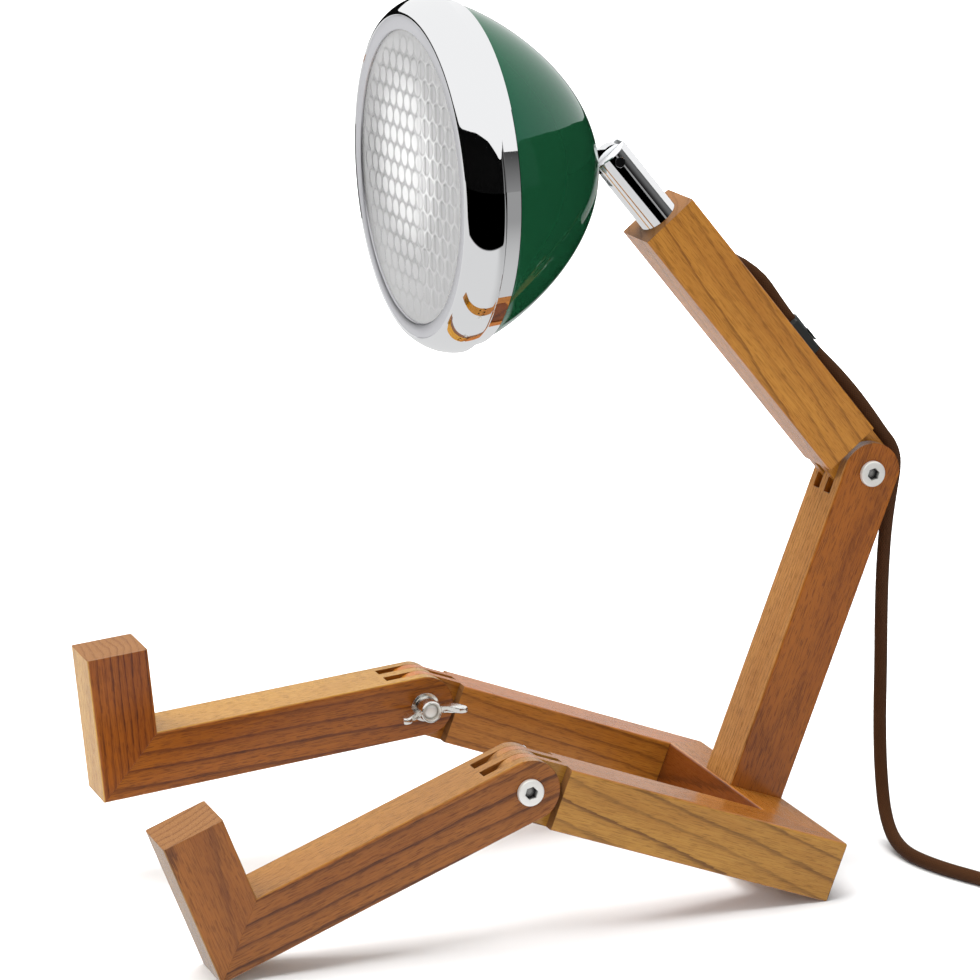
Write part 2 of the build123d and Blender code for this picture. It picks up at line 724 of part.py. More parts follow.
holder_seat = nut_seat + STEM_NUT_H
with BuildPart() as lamp_holder:
    with BuildSketch(bar_plane(at(head, holder_seat), HEAD_LEAN)):
        Circle(HOLDER_R)
        with Locations((0, -HOLDER_FLAT - HOLDER_R)):
            Rectangle(4 * HOLDER_R, 2 * HOLDER_R, mode=Mode.SUBTRACT)
    extrude(amount=HOLDER_END - holder_seat)
    with BuildSketch(bar_plane(at(head, holder_seat), HEAD_LEAN)):
        Circle(STEM_R + RUN_FIT)
    extrude(amount=STEM_END + STEM_CLEARANCE - holder_seat, mode=Mode.SUBTRACT)
    with BuildSketch(bar_plane(at(head, HOLDER_END), HEAD_LEAN)):
        Circle(BULB_R + RUN_FIT)
    extrude(amount=-BULB_SEAT, mode=Mode.SUBTRACT)
lamp_holder.part.label = "lamp_holder"
export_step(lamp_holder.part, "parts/lamp_holder.step")

with BuildPart() as led_bulb:
    with BuildSketch(bar_plane(at(head, HOLDER_END - BULB_SEAT), HEAD_LEAN)):
        Circle(BULB_R)
    extrude(amount=BULB_LENGTH)
    fillet(led_bulb.edges().group_by(Axis(head.origin, head.x_dir))[-1], BULB_ROUND)
led_bulb.part.label = "led_bulb"
export_step(led_bulb.part, "parts/led_bulb.step")

with BuildPart() as dimmer_module:
    with BuildSketch(bar_plane(at(head, holder_seat + DIMMER_AT), HEAD_LEAN)):
        with Locations((0, -HOLDER_FLAT - DIMMER_H / 2)):
            RectangleRounded(DIMMER_W, DIMMER_H, EDGE)
    extrude(amount=DIMMER_LENGTH)
dimmer_module.part.label = "dimmer_module"
export_step(dimmer_module.part, "parts/dimmer_module.step")


# ---------------------------------------------------------------- cord
def bar_point(along, above):
    """Point at x = 0 over the back face of the upper bar."""
    return at(upper, along, HALF + above)


def corner_radii(points):
    """One radius for each inner corner of a route, from its shorter run and its turn."""
    radii = []
    for before, here, after in zip(points, points[1:], points[2:]):
        run_in = here - before
        run_out = after - here
        half_turn = radians(run_in.get_angle(run_out)) / 2
        radii.append(0.45 * min(run_in.length, run_out.length) / tan(half_turn))
    return radii


def around_waist(angle, distance):
    """Point at x = 0 at a polar place about the waist axis, 0 pointing to the rear."""
    return Vector(0, waist.Y + distance * cos(radians(angle)), waist.Z + distance * sin(radians(angle)))


inner_start = at(upper, UPPER_LENGTH + NECK_SLOT_FROM - LEAD_SHORT)
inner_corner = at(upper, meets_axis_at)
run_inside = outlet_length / 2
cord_start = outlet.origin + outlet.z_dir * run_inside

rear_y = waist.Y + HALF
upper_route = [
    cord_start,
    bar_point(exit_at - EXIT_RUN, EXIT_RISE),
    bar_point(73.5, CLIP_CORD_N),
    bar_point(53.5, CLIP_CORD_N),
    bar_point(43.0, 4.1),
    bar_point(34.0, 4.8),
    bar_point(24.0, 5.0),
    bar_point(13.0, 4.6),
]
bend_route = [
    bar_point(4.0, 4.0),
    around_waist(27.0, 16.8),
    around_waist(1.0, 17.0),
    Vector(0, rear_y + 2.5, waist.Z - 12.3),
]
lower_route = [
    Vector(0, rear_y + 0.6, waist.Z - 26.3),
    Vector(0, rear_y - 0.3, waist.Z - 43.3),
    Vector(0.2, rear_y - 0.6, waist.Z - 62.0),
    Vector(0.6, rear_y - 0.4, waist.Z - 86.3),
    Vector(1.0, rear_y - 0.6, 48.0),
    Vector(5.0, rear_y - 1.5, 27.0),
    Vector(15.0, rear_y - 3.8, 9.5),
    Vector(33.0, rear_y - 6.3, FLOOR_Z),
    Vector(55.0, rear_y - 2.8, FLOOR_Z),
]
coil_centre = Vector(COIL_X, rear_y + COIL_BEHIND, 0)
arrival = radians(COIL_ARRIVAL)
tangent_way = Vector(cos(arrival), sin(arrival), 0)
outer_turn_r = COIL_OUTER_R - CORD_R - RUN_FIT
tangent_point = coil_centre + Vector(sin(arrival), -cos(arrival), 0) * outer_turn_r + Vector(0, 0, FLOOR_Z)
cord_end = tangent_point - tangent_way * STUB_REACH
last_corner = cord_end - tangent_way * LAST_RUN
split_high = (upper_route[-1] + bend_route[0]) / 2
split_low = (bend_route[-1] + lower_route[0]) / 2

routes = {
    "inner_lead": ([inner_start, inner_corner, cord_start], LEAD_R),
    "cord_upper": (upper_route + [split_high], CORD_R),
    "cord_bend": ([split_high] + bend_route + [split_low], CORD_R),
    "cord_lower": ([split_low] + lower_route + [last_corner, cord_end], CORD_R),
}
for name, (points, tube_r) in routes.items():
    radii = corner_radii(points)
    with BuildPart() as tube:
        with BuildLine() as path:
            FilletPolyline(*points, radius=radii)
        route = path.wire()
        with BuildSketch(Plane(origin=route @ 0, z_dir=route % 0)):
            Circle(tube_r)
        sweep()
    ideal = pi * tube_r**2 * route.length
    print(name, "length", round(route.length, 1), "radii", [round(r, 1) for r in radii])
    print(name, "volume over section x length", round(tube.part.volume / ideal, 4))
    tube.part.label = name
    export_step(tube.part, f"parts/{name}.step")

with BuildPart() as cord_clip:
    for side in (-1, 1):
        wall_x = side * (CLIP_CORD_N + CLIP_OUTER_X) / 2
        with BuildSketch(side_plane(waist, upper_lean, wall_x)):
            with Locations(((CLIP_FROM + CLIP_TO) / 2, HALF + CLIP_WALL_H / 2)):
                RectangleRounded(CLIP_TO - CLIP_FROM, CLIP_WALL_H, CLIP_EASE)
        extrude(amount=(CLIP_OUTER_X - CLIP_CORD_N) / 2, both=True)
    with BuildSketch(bar_plane(at(upper, CLIP_ARCH_FROM, HALF + CLIP_CORD_N), upper_lean)):
        Circle(CLIP_ARCH_R)
        with Locations((0, CLIP_ARCH_BELOW - CLIP_ARCH_R)):
            Rectangle(4 * CLIP_ARCH_R, 2 * CLIP_ARCH_R, mode=Mode.SUBTRACT)
    extrude(amount=CLIP_TO - CLIP_ARCH_FROM - CLIP_EASE)
    arch_top = HALF + CLIP_CORD_N + CLIP_ARCH_R
    tail = ((CLIP_ARCH_FROM, CLIP_TAIL_FRONT), (CLIP_FROM + CLIP_TAIL_INSET, CLIP_TAIL_END))
    for place, (tail_width, tail_height, below_top) in tail:
        with BuildSketch(bar_plane(at(upper, place, arch_top - below_top), upper_lean)):
            Rectangle(tail_width, tail_height)
    loft()
    with BuildSketch(bar_plane(at(upper, (CLIP_FROM + CLIP_TO) / 2, HALF + CLIP_CORD_N), upper_lean)):
        Circle(CORD_R + RUN_FIT)
    extrude(amount=CLIP_TO - CLIP_FROM, both=True, mode=Mode.SUBTRACT)
cord_clip.part.label = "cord_clip"
export_step(cord_clip.part, "parts/cord_clip.step")

plug_stub_y = coil_centre.Y + COIL_OUTER_R - PLUG_STUB_INSET
stub_end_x = coil_centre.X - COIL_INNER_R
with BuildPart() as cord_coil:
    with BuildSketch(Plane.XY):
        with Locations((coil_centre.X, coil_centre.Y)):
            Circle(COIL_OUTER_R)
            Circle(COIL_INNER_R, mode=Mode.SUBTRACT)
    extrude(amount=COIL_H)
    fillet(cord_coil.edges().group_by(Axis.Z)[-1], CORD_R)
    with BuildSketch(Plane(origin=cord_end, z_dir=tangent_way)):
        Circle(CORD_R)
    extrude(amount=STUB_REACH / 2)
    with BuildSketch(Plane(origin=(stub_end_x, plug_stub_y, PLUG_H / 2), z_dir=(1, 0, 0))):
        Circle(CORD_R)
    extrude(amount=COIL_INNER_R)
cord_coil.part.label = "cord_coil"
export_step(cord_coil.part, "parts/cord_coil.step")

plug_plane = Plane(origin=(stub_end_x, plug_stub_y, PLUG_H / 2), x_dir=(0, 1, 0), z_dir=(-1, 0, 0))
with BuildPart() as plug_relief:
    with BuildSketch(plug_plane):
        Circle(CORD_R + RELIEF_LIP)
    with BuildSketch(plug_plane.offset(RELIEF_LENGTH)):
        Circle(RELIEF_R)
    loft()
plug_relief.part.label = "plug_relief"
export_step(plug_relief.part, "parts/plug_relief.step")

with BuildPart() as plug_body:
    with BuildSketch(plug_plane.offset(RELIEF_LENGTH)):
        RectangleRounded(PLUG_W * PLUG_NECK, PLUG_H, PLUG_EDGE)
    with BuildSketch(plug_plane.offset(RELIEF_LENGTH + PLUG_LENGTH * PLUG_NECK)):
        RectangleRounded(PLUG_W, PLUG_H, PLUG_EDGE)
    loft()
    with BuildSketch(plug_plane.offset(RELIEF_LENGTH + PLUG_LENGTH * PLUG_NECK)):
        RectangleRounded(PLUG_W, PLUG_H, PLUG_EDGE)
    extrude(amount=PLUG_LENGTH * (1 - PLUG_NECK))
plug_body.part.label = "plug_body"
export_step(plug_body.part, "parts/plug_body.step")

with BuildPart() as plug_pins:
    with BuildSketch(plug_plane.offset(RELIEF_LENGTH + PLUG_LENGTH)):
        with Locations((-PIN_SPACING / 2, 0), (PIN_SPACING / 2, 0)):
            Circle(PIN_R_MAINS)
    extrude(amount=PIN_LENGTH)
    fillet(plug_pins.edges().group_by(Axis.X)[0], PIN_TIP)
plug_pins.part.label = "plug_pins"
export_step(plug_pins.part, "parts/plug_pins.step")
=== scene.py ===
import math

import bmesh
import bpy
from mathutils import Matrix, Vector


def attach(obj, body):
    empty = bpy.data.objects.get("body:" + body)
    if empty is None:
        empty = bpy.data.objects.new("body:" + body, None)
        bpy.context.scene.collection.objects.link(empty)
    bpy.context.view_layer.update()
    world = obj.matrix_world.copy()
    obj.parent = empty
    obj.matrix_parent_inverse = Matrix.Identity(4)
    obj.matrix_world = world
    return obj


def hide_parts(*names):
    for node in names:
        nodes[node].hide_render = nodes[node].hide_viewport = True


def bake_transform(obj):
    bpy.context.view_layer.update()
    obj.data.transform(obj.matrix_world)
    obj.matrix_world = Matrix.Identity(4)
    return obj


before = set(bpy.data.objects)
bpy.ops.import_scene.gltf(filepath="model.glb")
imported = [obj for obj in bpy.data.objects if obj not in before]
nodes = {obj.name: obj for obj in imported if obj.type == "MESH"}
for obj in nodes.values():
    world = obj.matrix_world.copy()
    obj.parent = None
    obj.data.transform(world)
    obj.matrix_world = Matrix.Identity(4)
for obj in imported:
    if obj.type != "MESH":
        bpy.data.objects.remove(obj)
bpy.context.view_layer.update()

# ---------------------------------------------------------------- places in metres, leans in degrees
WAIST = Vector((0, 0.152773, 0.157904))
KNEE = Vector((0, -0.019422, 0.061252))
PIVOT = Vector((0, 0.043398, 0.291296))
HIP_LEAN = 69.2
POST_LEAN = -20.8
UPPER_LEAN = 39.35
HEAD_LEAN = 91.2
LEFT_LEAN = 111.06
RIGHT_LEAN = 95.3
HALF = 0.0125
OUTER_X = 0.0715
X_AXIS = Vector((1, 0, 0))


def along(lean):
    """Unit vector that leans this many degrees from vertical towards the front."""
    return Vector((0, -math.sin(math.radians(lean)), math.cos(math.radians(lean))))


def back(lean):
    """Unit vector square to along(), on the top or rear side of a bar."""
    return Vector((0, math.cos(math.radians(lean)), math.sin(math.radians(lean))))


def frame_at(point, x_axis, z_axis):
    """Matrix whose local X and Z are the given axes, at a point."""
    z = z_axis.normalized()
    x = (x_axis - z * x_axis.dot(z)).normalized()
    y = z.cross(x)
    m = Matrix((x, y, z)).transposed().to_4x4()
    m.translation = point
    return m


# ---------------------------------------------------------------- camera
AZIMUTH = math.radians(69.145)
ELEVATION = math.radians(14.135)
ROLL = math.radians(-0.129)
TARGET = Vector((0, -0.00826, 0.16279))
DISTANCE = 1.5469
SENSOR = 36
FOCAL_LENGTH = 144.11
to_camera = Vector(
    (
        math.sin(AZIMUTH) * math.cos(ELEVATION),
        -math.cos(AZIMUTH) * math.cos(ELEVATION),
        math.sin(ELEVATION),
    )
)
right = (-to_camera).cross(Vector((0, 0, 1))).normalized()
up = right.cross(-to_camera)
rolled_right = right * math.cos(ROLL) + up * math.sin(ROLL)
camera_data = bpy.data.cameras.new("camera")
camera_data.sensor_fit = "HORIZONTAL"
camera_data.sensor_width = SENSOR
camera_data.lens = FOCAL_LENGTH
camera_data.clip_start = 0.05
camera_data.clip_end = 50
camera = bpy.data.objects.new("camera", camera_data)
bpy.context.collection.objects.link(camera)
camera.matrix_world = frame_at(TARGET + to_camera * DISTANCE, rolled_right, to_camera)
bpy.context.scene.camera = camera


# ---------------------------------------------------------------- mesh helpers
def add_object(name, mesh, material=None):
    """Object with this mesh, linked into the scene."""
    obj = bpy.data.objects.new(name, mesh)
    bpy.context.collection.objects.link(obj)
    if material:
        mesh.materials.append(material)
    return obj


def from_bmesh(name, bm, material=None, sharp=35):
    """Object from a bmesh, shaded smooth but for edges over the sharp angle in degrees."""
    bmesh.ops.recalc_face_normals(bm, faces=bm.faces)
    mesh = bpy.data.meshes.new(name)
    bm.to_mesh(mesh)
    bm.free()
    mesh.shade_smooth()
    mesh.set_sharp_from_angle(angle=math.radians(sharp))
    return add_object(name, mesh, material)


def lathe_into(bm, profile, matrix, segments=96, closed=False, hexed=()):
    """Turns (along, radius) points in metres about the matrix's Z. Hexed points follow a hexagon."""
    rings = []
    for index, (height, radius) in enumerate(profile):
        if radius <= 1e-9:
            rings.append([bm.verts.new(matrix @ Vector((0, 0, height)))])
            continue
        ring = []
        for step in range(segments):
            turn = 2 * math.pi * step / segments
            r = radius
            if index in hexed:
                r = radius / math.cos((turn % (math.pi / 3)) - math.pi / 6)
            ring.append(bm.verts.new(matrix @ Vector((r * math.cos(turn), r * math.sin(turn), height))))
        rings.append(ring)
    pairs = list(zip(rings, rings[1:]))
    if closed:
        pairs.append((rings[-1], rings[0]))
    for a, b in pairs:
        count = max(len(a), len(b))
        for step in range(count):
            after = (step + 1) % count
            corners = [a[step % len(a)], a[after % len(a)], b[after % len(b)], b[step % len(b)]]
            unique = list(dict.fromkeys(corners))
            if len(unique) > 2:
                bm.faces.new(unique)


def lathe(name, profile, matrix, material, segments=96, closed=False, hexed=(), sharp=35):
    """One turned piece, as lathe_into makes it."""
    bm = bmesh.new()
    lathe_into(bm, profile, matrix, segments, closed, hexed)
    return from_bmesh(name, bm, material, sharp)


def arc(centre, radius, start, end, count):
    """Points (along, radius) on an arc in the profile plane, angles in degrees."""
    points = []
    for step in range(count + 1):
        turn = math.radians(start + (end - start) * step / count)
        points.append((centre[0] + radius * math.cos(turn), centre[1] + radius * math.sin(turn)))
    return points


def finish_piece(obj, body, slot, *replaced):
    """Names the body the piece rides on and hides the nodes it stands in for; slot is not used."""
    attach(obj, body)
    if replaced:
        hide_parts(*replaced)
    return obj


# ---------------------------------------------------------------- cord
CORD_D = 0.0055
CORD_R = CORD_D / 2
FLOOR_Z = CORD_R + 0.00005
REAR_Y = WAIST.y + HALF
START_AT = 0.118
START_BELOW = 0.00625
COIL_X = 0.095
COIL_BEHIND = 0.0602
COIL_R = 0.0365
ARRIVAL = math.radians(30)


def over_back(distance, above):
    """Point at x = 0 over the back face of the upper bar, measured from the waist."""
    return WAIST + along(UPPER_LEAN) * distance + back(UPPER_LEAN) * (HALF + above)


def round_waist(angle, distance):
    """Point at x = 0 round the waist bolt, the angle in degrees up from straight back."""
    turn = math.radians(angle)
    return Vector((0, WAIST.y + distance * math.cos(turn), WAIST.z + distance * math.sin(turn)))


cord_start = over_back(START_AT, -START_BELOW)
coil_centre = Vector((COIL_X, REAR_Y + COIL_BEHIND, 0))
tangent_way = Vector((math.cos(ARRIVAL), math.sin(ARRIVAL), 0))
outward = Vector((tangent_way.y, -tangent_way.x, 0))
tangent_point = coil_centre + outward * COIL_R + Vector((0, 0, FLOOR_Z))
route = [
    cord_start,
    over_back(0.100, 0.0050),
    over_back(0.0735, 0.00295),
    over_back(0.0535, 0.00295),
    over_back(0.043, 0.0041),
    over_back(0.034, 0.0048),
    over_back(0.024, 0.0050),
    over_back(0.013, 0.0046),
    over_back(0.004, 0.0040),
    round_waist(27, 0.0168),
    round_waist(1, 0.0170),
    Vector((0, REAR_Y + 0.0025, WAIST.z - 0.0123)),
    Vector((0, REAR_Y + 0.0006, WAIST.z - 0.0263)),
    Vector((0, REAR_Y - 0.0003, WAIST.z - 0.0433)),
    Vector((0.0002, REAR_Y - 0.0006, WAIST.z - 0.0620)),
    Vector((0.0006, REAR_Y - 0.0004, WAIST.z - 0.0863)),
    Vector((0.0010, REAR_Y - 0.0006, 0.0480)),
    Vector((0.0050, REAR_Y - 0.0015, 0.0270)),
    Vector((0.0150, REAR_Y - 0.0038, 0.0095)),
    Vector((0.0330, REAR_Y - 0.0063, FLOOR_Z)),
    Vector((0.0550, REAR_Y - 0.0028, FLOOR_Z)),
    tangent_point - tangent_way * 0.038,
    tangent_point - tangent_way * 0.014,
]
# the put-away turns lie in rings beside and on each other, a diameter apart
TURN_STEPS = 14
TURN_COUNT = 7
RING_RADII = (COIL_R, 0.0310, 0.0255, 0.0255, 0.0310, COIL_R, 0.0345, COIL_R)
LAYER_Z = (0.0, 0.0, 0.0, CORD_D, CORD_D, CORD_D, 2 * CORD_D, 2 * CORD_D)
START_TURN = -60.0
LAST_TURN = 90.0
STEP_OVER = 0.35
all_steps = int(TURN_STEPS * (TURN_COUNT + (LAST_TURN - START_TURN) / 360))
for step in range(all_steps):
    turns = step / TURN_STEPS
    ring = int(turns)
    blend = max(0.0, (turns - ring - (1 - STEP_OVER)) / STEP_OVER) if ring < TURN_COUNT else 0.0
    radius = RING_RADII[ring] * (1 - blend) + RING_RADII[min(ring + 1, TURN_COUNT)] * blend
    height = LAYER_Z[ring] * (1 - blend) + LAYER_Z[min(ring + 1, TURN_COUNT)] * blend
    turn = math.radians(START_TURN + 360 * turns)
    reach = Vector((radius * math.cos(turn), radius * math.sin(turn), FLOOR_Z + height))
    route.append(coil_centre + reach)
PLUG_Y = coil_centre.y + 0.0360
PLUG_Z = 0.0070
PLUG_FROM_COIL = 0.0227
plug_start_x = coil_centre.x - PLUG_FROM_COIL
route.append(Vector((coil_centre.x + 0.004, PLUG_Y + 0.0003, 0.0125)))
route.append(Vector((coil_centre.x - 0.010, PLUG_Y, 0.0085)))
route.append(Vector((plug_start_x - 0.004, PLUG_Y, PLUG_Z)))

curve = bpy.data.curves.new("cord_line", "CURVE")
curve.dimensions = "3D"
curve.resolution_u = 6
spline = curve.splines.new("NURBS")
spline.points.add(len(route) - 1)
for point, place in zip(spline.points, route):
    point.co = (*place, 1)
spline.order_u = 3
spline.use_endpoint_u = True
line_object = bpy.data.objects.new("cord_line", curve)
bpy.context.collection.objects.link(line_object)
line_mesh = bpy.data.meshes.new_from_object(line_object)
cord_path = [v.co.copy() for v in line_mesh.vertices]
bpy.data.objects.remove(line_object)
bpy.data.meshes.remove(line_mesh)


def tube(name, path, radius, sides, material):
    """Closed tube along a path, with its length and turn kept as UVs in metres and turns."""
    bm = bmesh.new()
    uv = bm.loops.layers.uv.new("length_turn")
    side = None
    rings = []
    lengths = [0.0]
    for a, b in zip(path, path[1:]):
        lengths.append(lengths[-1] + (b - a).length)
    for index, place in enumerate(path):
        ahead = path[min(index + 1, len(path) - 1)] - path[max(index - 1, 0)]
        ahead.normalize()
        if side is None:
            side = ahead.orthogonal().normalized()
        side = (side - ahead * side.dot(ahead)).normalized()
        other = ahead.cross(side)
        ring = []
        for step in range(sides):
            turn = 2 * math.pi * step / sides
            ring.append(bm.verts.new(place + (side * math.cos(turn) + other * math.sin(turn)) * radius))
        rings.append(ring)
    for index, (a, b) in enumerate(zip(rings, rings[1:])):
        for step in range(sides):
            after = (step + 1) % sides
            face = bm.faces.new((a[step], a[after], b[after], b[step]))
            spans = ((index, step), (index, step + 1), (index + 1, step + 1), (index + 1, step))
            for loop, (row, column) in zip(face.loops, spans):
                loop[uv].uv = (lengths[row], column / sides)
    bm.faces.new(reversed(rings[0]))
    bm.faces.new(rings[-1])
    return from_bmesh(name, bm, material, 60)


# ---------------------------------------------------------------- materials
def grey(value):
    return (value, value, value)


class Nodes:
    """Short-hand for building one material's node tree."""

    def __init__(self, name):
        self.material = bpy.data.materials.new(name)
        self.material.use_nodes = True
        self.tree = self.material.node_tree
        self.shader = self.tree.nodes["Principled BSDF"]

    def fill(self, socket, value):
        """Links the socket or sets its value; a colour gets its alpha here."""
        if isinstance(value, bpy.types.NodeSocket):
            self.tree.links.new(value, socket)
        elif socket.type == "RGBA":
            socket.default_value = (*value, 1)
        else:
            socket.default_value = value

    def add(self, kind, inputs=None, **settings):
        """New node with these inputs, by name or number, and settings."""
        node = self.tree.nodes.new(kind)
        for key, value in settings.items():
            setattr(node, key, value)
        for key, value in (inputs or {}).items():
            self.fill(node.inputs[key], value)
        return node

    def place(self):
        """Position on the object, in metres in the shared frame."""
        return self.add("ShaderNodeTexCoord").outputs["Object"]

    def math(self, operation, a, b=0.0, clamp=False):
        node = self.add("ShaderNodeMath", {0: a, 1: b}, operation=operation, use_clamp=clamp)
        return node.outputs[0]

    def vector(self, operation, a, b=(0.0, 0.0, 0.0)):
        """Vector maths; a length or a dot product comes out as a number."""
        node = self.add("ShaderNodeVectorMath", {0: a, 1: b}, operation=operation)
        return node.outputs["Value" if operation in ("LENGTH", "DOT_PRODUCT") else 0]

    def noise(self, vector, scale, detail=2.0, rough=0.5):
        inputs = {"Vector": vector, "Scale": scale, "Detail": detail, "Roughness": rough}
        return self.add("ShaderNodeTexNoise", inputs).outputs[0]

    def ramp(self, value, stops, smooth=False):
        """Colour ramp through (value, colour) stops."""
        node = self.add("ShaderNodeValToRGB", {0: value})
        node.color_ramp.interpolation = "EASE" if smooth else "LINEAR"
        elements = node.color_ramp.elements
        while len(elements) < len(stops):
            elements.new(0.5)
        for element, (place, colour) in zip(elements, stops):
            element.position = place
            element.color = (*colour, 1)
        return node.outputs[0]

    def mix(self, blend, factor, a, b):
        inputs = {0: factor, 6: a, 7: b}
        return self.add("ShaderNodeMix", inputs, data_type="RGBA", blend_type=blend).outputs[2]

    def fade(self, value, start, end, smooth=False):
        """0 up to the start value and 1 from the end value on; the other way round if start is larger."""
        low, high = grey(0.0), grey(1.0)
        stops = [(start, low), (end, high)] if start < end else [(end, high), (start, low)]
        return self.ramp(value, stops, smooth)

    def bump(self, height, distance, strength=1.0, normal=None):
        inputs = {"Height": height, "Distance": distance, "Strength": strength}
        if normal is not None:
            inputs["Normal"] = normal
        return self.add("ShaderNodeBump", inputs).outputs[0]

    def bevel(self, radius):
        return self.add("ShaderNodeBevel", {"Radius": radius}, samples=4).outputs[0]

    def set(self, **sockets):
        """Sets or links the shader's sockets, named with _ for a space."""
        for name, value in sockets.items():
            self.fill(self.shader.inputs[name.replace("_", " ")], value)


def dress(name, material):
    """Gives a node this material alone."""
    nodes[name].data.materials.clear()
    nodes[name].data.materials.append(material)


END_BROWN = (0.212, 0.095, 0.031)
END_DARK = (0.106, 0.040, 0.012)
THREAD_TINT = (0.76, 0.66, 0.55)
CLOUD_TINT = (0.74, 0.64, 0.54)
GLOSS = 0.80
END_GLOSS = 0.25
WANDER = 0.0065
JITTER = 0.0017
# each ring darkens slowly outwards and ends in a thin dark line
RING_PROFILE = [
    (0.0, grey(0.50)),
    (0.05, grey(0.05)),
    (0.45, grey(0.0)),
    (0.80, grey(0.25)),
    (0.93, grey(1.0)),
    (1.0, grey(1.0)),
]


def wood(name, centre, grain, across, offset, light, dark, ring, tilt, line, pores, face_light_and_tone, calm):
    """Oiled open-pored wood as a solid texture: growth rings about a slightly tilted pith, and fine pores.

    centre is the bar's middle, grain and across its direction and one square to it, and offset the
    pith's place. ring is the width of a year, line and pores say how strongly the rings' ends and the
    pores show. face_light_and_tone is the tone of the faces that are cut across the rings, partly the
    wood's own paler cut and partly painted light and shade: brighter lit tops, a painted sheen on the
    fronts, and painted shade on the cross bar's front inside the hip. calm says how much of the figure
    those faces lose, or, where it is negative, how much the other faces lose.
    """
    n = Nodes(name)
    z = grain.cross(across)
    turn = Matrix((grain, across, z)).to_euler()
    texture = n.add("ShaderNodeTexCoord")
    middle = n.vector("SUBTRACT", texture.outputs["Object"], centre)
    bar = n.add("ShaderNodeMapping", {"Vector": middle, "Rotation": turn}).outputs[0]
    lean = (0, math.radians(tilt), math.radians(-tilt * 0.7))
    leaned = n.add("ShaderNodeMapping", {"Vector": bar, "Location": offset, "Rotation": lean}).outputs[0]

    def grained(along_it, over_it, detail, rough):
        """Noise drawn out along the grain, the two sizes in turns a metre."""
        stretched = n.vector("MULTIPLY", bar, (along_it, over_it, over_it))
        return n.noise(stretched, 1.0, detail, rough)

    sway = grained(7.0, 40.0, 2.0, 0.5)
    teeth = grained(75.0, 1100.0, 2.0, 0.6)
    fibre = grained(70.0, 2700.0, 2.0, 0.6)
    cloud = grained(11.0, 60.0, 3.0, 0.6)
    holes = grained(230.0, 4200.0, 1.0, 0.5)

    # place in the rings, from the distance to the pith
    parts = n.add("ShaderNodeSeparateXYZ", {0: leaned})
    squares = n.math("ADD", n.math("POWER", parts.outputs[1], 2.0), n.math("POWER", parts.outputs[2], 2.0))
    wander = n.math("MULTIPLY", n.math("SUBTRACT", sway, 0.5), WANDER)
    jitter = n.math("MULTIPLY", n.math("SUBTRACT", teeth, 0.5), JITTER)
    distance = n.math("ADD", n.math("ADD", n.math("SQRT", squares), wander), jitter)
    place = n.math("DIVIDE", distance, ring)
    band = n.ramp(n.math("FRACT", place), RING_PROFILE)
    year = n.math("FLOOR", place)
    vary = n.add("ShaderNodeTexWhiteNoise", {"W": year}, noise_dimensions="1D").outputs[0]
    band = n.math("MULTIPLY", band, n.math("ADD", n.math("MULTIPLY", vary, 0.6), 0.55), clamp=True)

    # which way the face looks
    facing = n.vector("DOT_PRODUCT", texture.outputs["Normal"], z)
    cut_across = n.fade(n.math("ABSOLUTE", facing), 0.5, 0.8)
    quiet = cut_across if calm > 0 else n.math("SUBTRACT", 1.0, cut_across)
    figure = n.math("SUBTRACT", 1.0, n.math("MULTIPLY", quiet, abs(calm)))
    end_facing = n.vector("DOT_PRODUCT", texture.outputs["Normal"], grain)
    at_end = n.fade(n.math("ABSOLUTE", end_facing), 0.75, 0.9)

    colour = n.mix("MIX", n.math("MULTIPLY", band, n.math("MULTIPLY", figure, line)), light, dark)
    threads = n.fade(fibre, 0.62, 0.36)
    thread_share = n.math("MULTIPLY", threads, n.math("MULTIPLY", figure, 0.55))
    colour = n.mix("MULTIPLY", thread_share, colour, THREAD_TINT)
    cloud_share = n.ramp(cloud, [(0.35, grey(0.0)), (0.75, grey(0.7))])
    colour = n.mix("MULTIPLY", cloud_share, colour, CLOUD_TINT)
    # painted light and shade: faces cut across the rings take their own tone, which holds the lit tops, the
    # painted sheen of the fronts and the cross bar's painted shade
    colour = n.mix("MULTIPLY", cut_across, colour, face_light_and_tone)
    end_brown = n.mix("MIX", n.math("MULTIPLY", band, 0.7), END_BROWN, END_DARK)
    colour = n.mix("MIX", at_end, colour, end_brown)

    # pores: thin dark dashes along the grain, crowded beside the rings' ends
    crowded = n.math("ADD", holes, n.math("MULTIPLY", band, 0.05))
    pore = n.fade(crowded, 0.550, 0.625)
    colour = n.mix("MIX", n.math("MULTIPLY", pore, pores), colour, tuple(c * 0.55 for c in dark))
    rough = n.math("ADD", n.math("MULTIPLY", cloud, 0.10), n.math("MULTIPLY", pore, 0.20))
    relief = n.math("SUBTRACT", n.math("MULTIPLY", threads, -0.25), pore)
    n.set(
        Base_Color=colour,
        Roughness=n.math("ADD", rough, 0.42),
        Specular_IOR_Level=0.08,
        Coat_Weight=n.math("SUBTRACT", GLOSS, n.math("MULTIPLY", at_end, GLOSS - END_GLOSS)),
        Coat_Roughness=0.17,
        Normal=n.bump(relief, 0.00006, 0.6, n.bevel(0.0005)),
        Coat_Normal=n.bump(relief, 0.00002, 0.4, n.bevel(0.0005)),
    )
    return n.material


# each wood's light tone and the dark tone of its rings' ends
OLIVE = ((0.405, 0.200, 0.035), (0.105, 0.040, 0.008))
AMBER = ((0.435, 0.187, 0.025), (0.190, 0.070, 0.009))
TAN = ((0.395, 0.148, 0.018), (0.130, 0.038, 0.005))
RUSSET = ((0.297, 0.089, 0.0065), (0.085, 0.020, 0.003))
MAROON = ((0.262, 0.071, 0.0055), (0.075, 0.016, 0.002))
UMBER = ((0.268, 0.091, 0.0135), (0.062, 0.017, 0.004))
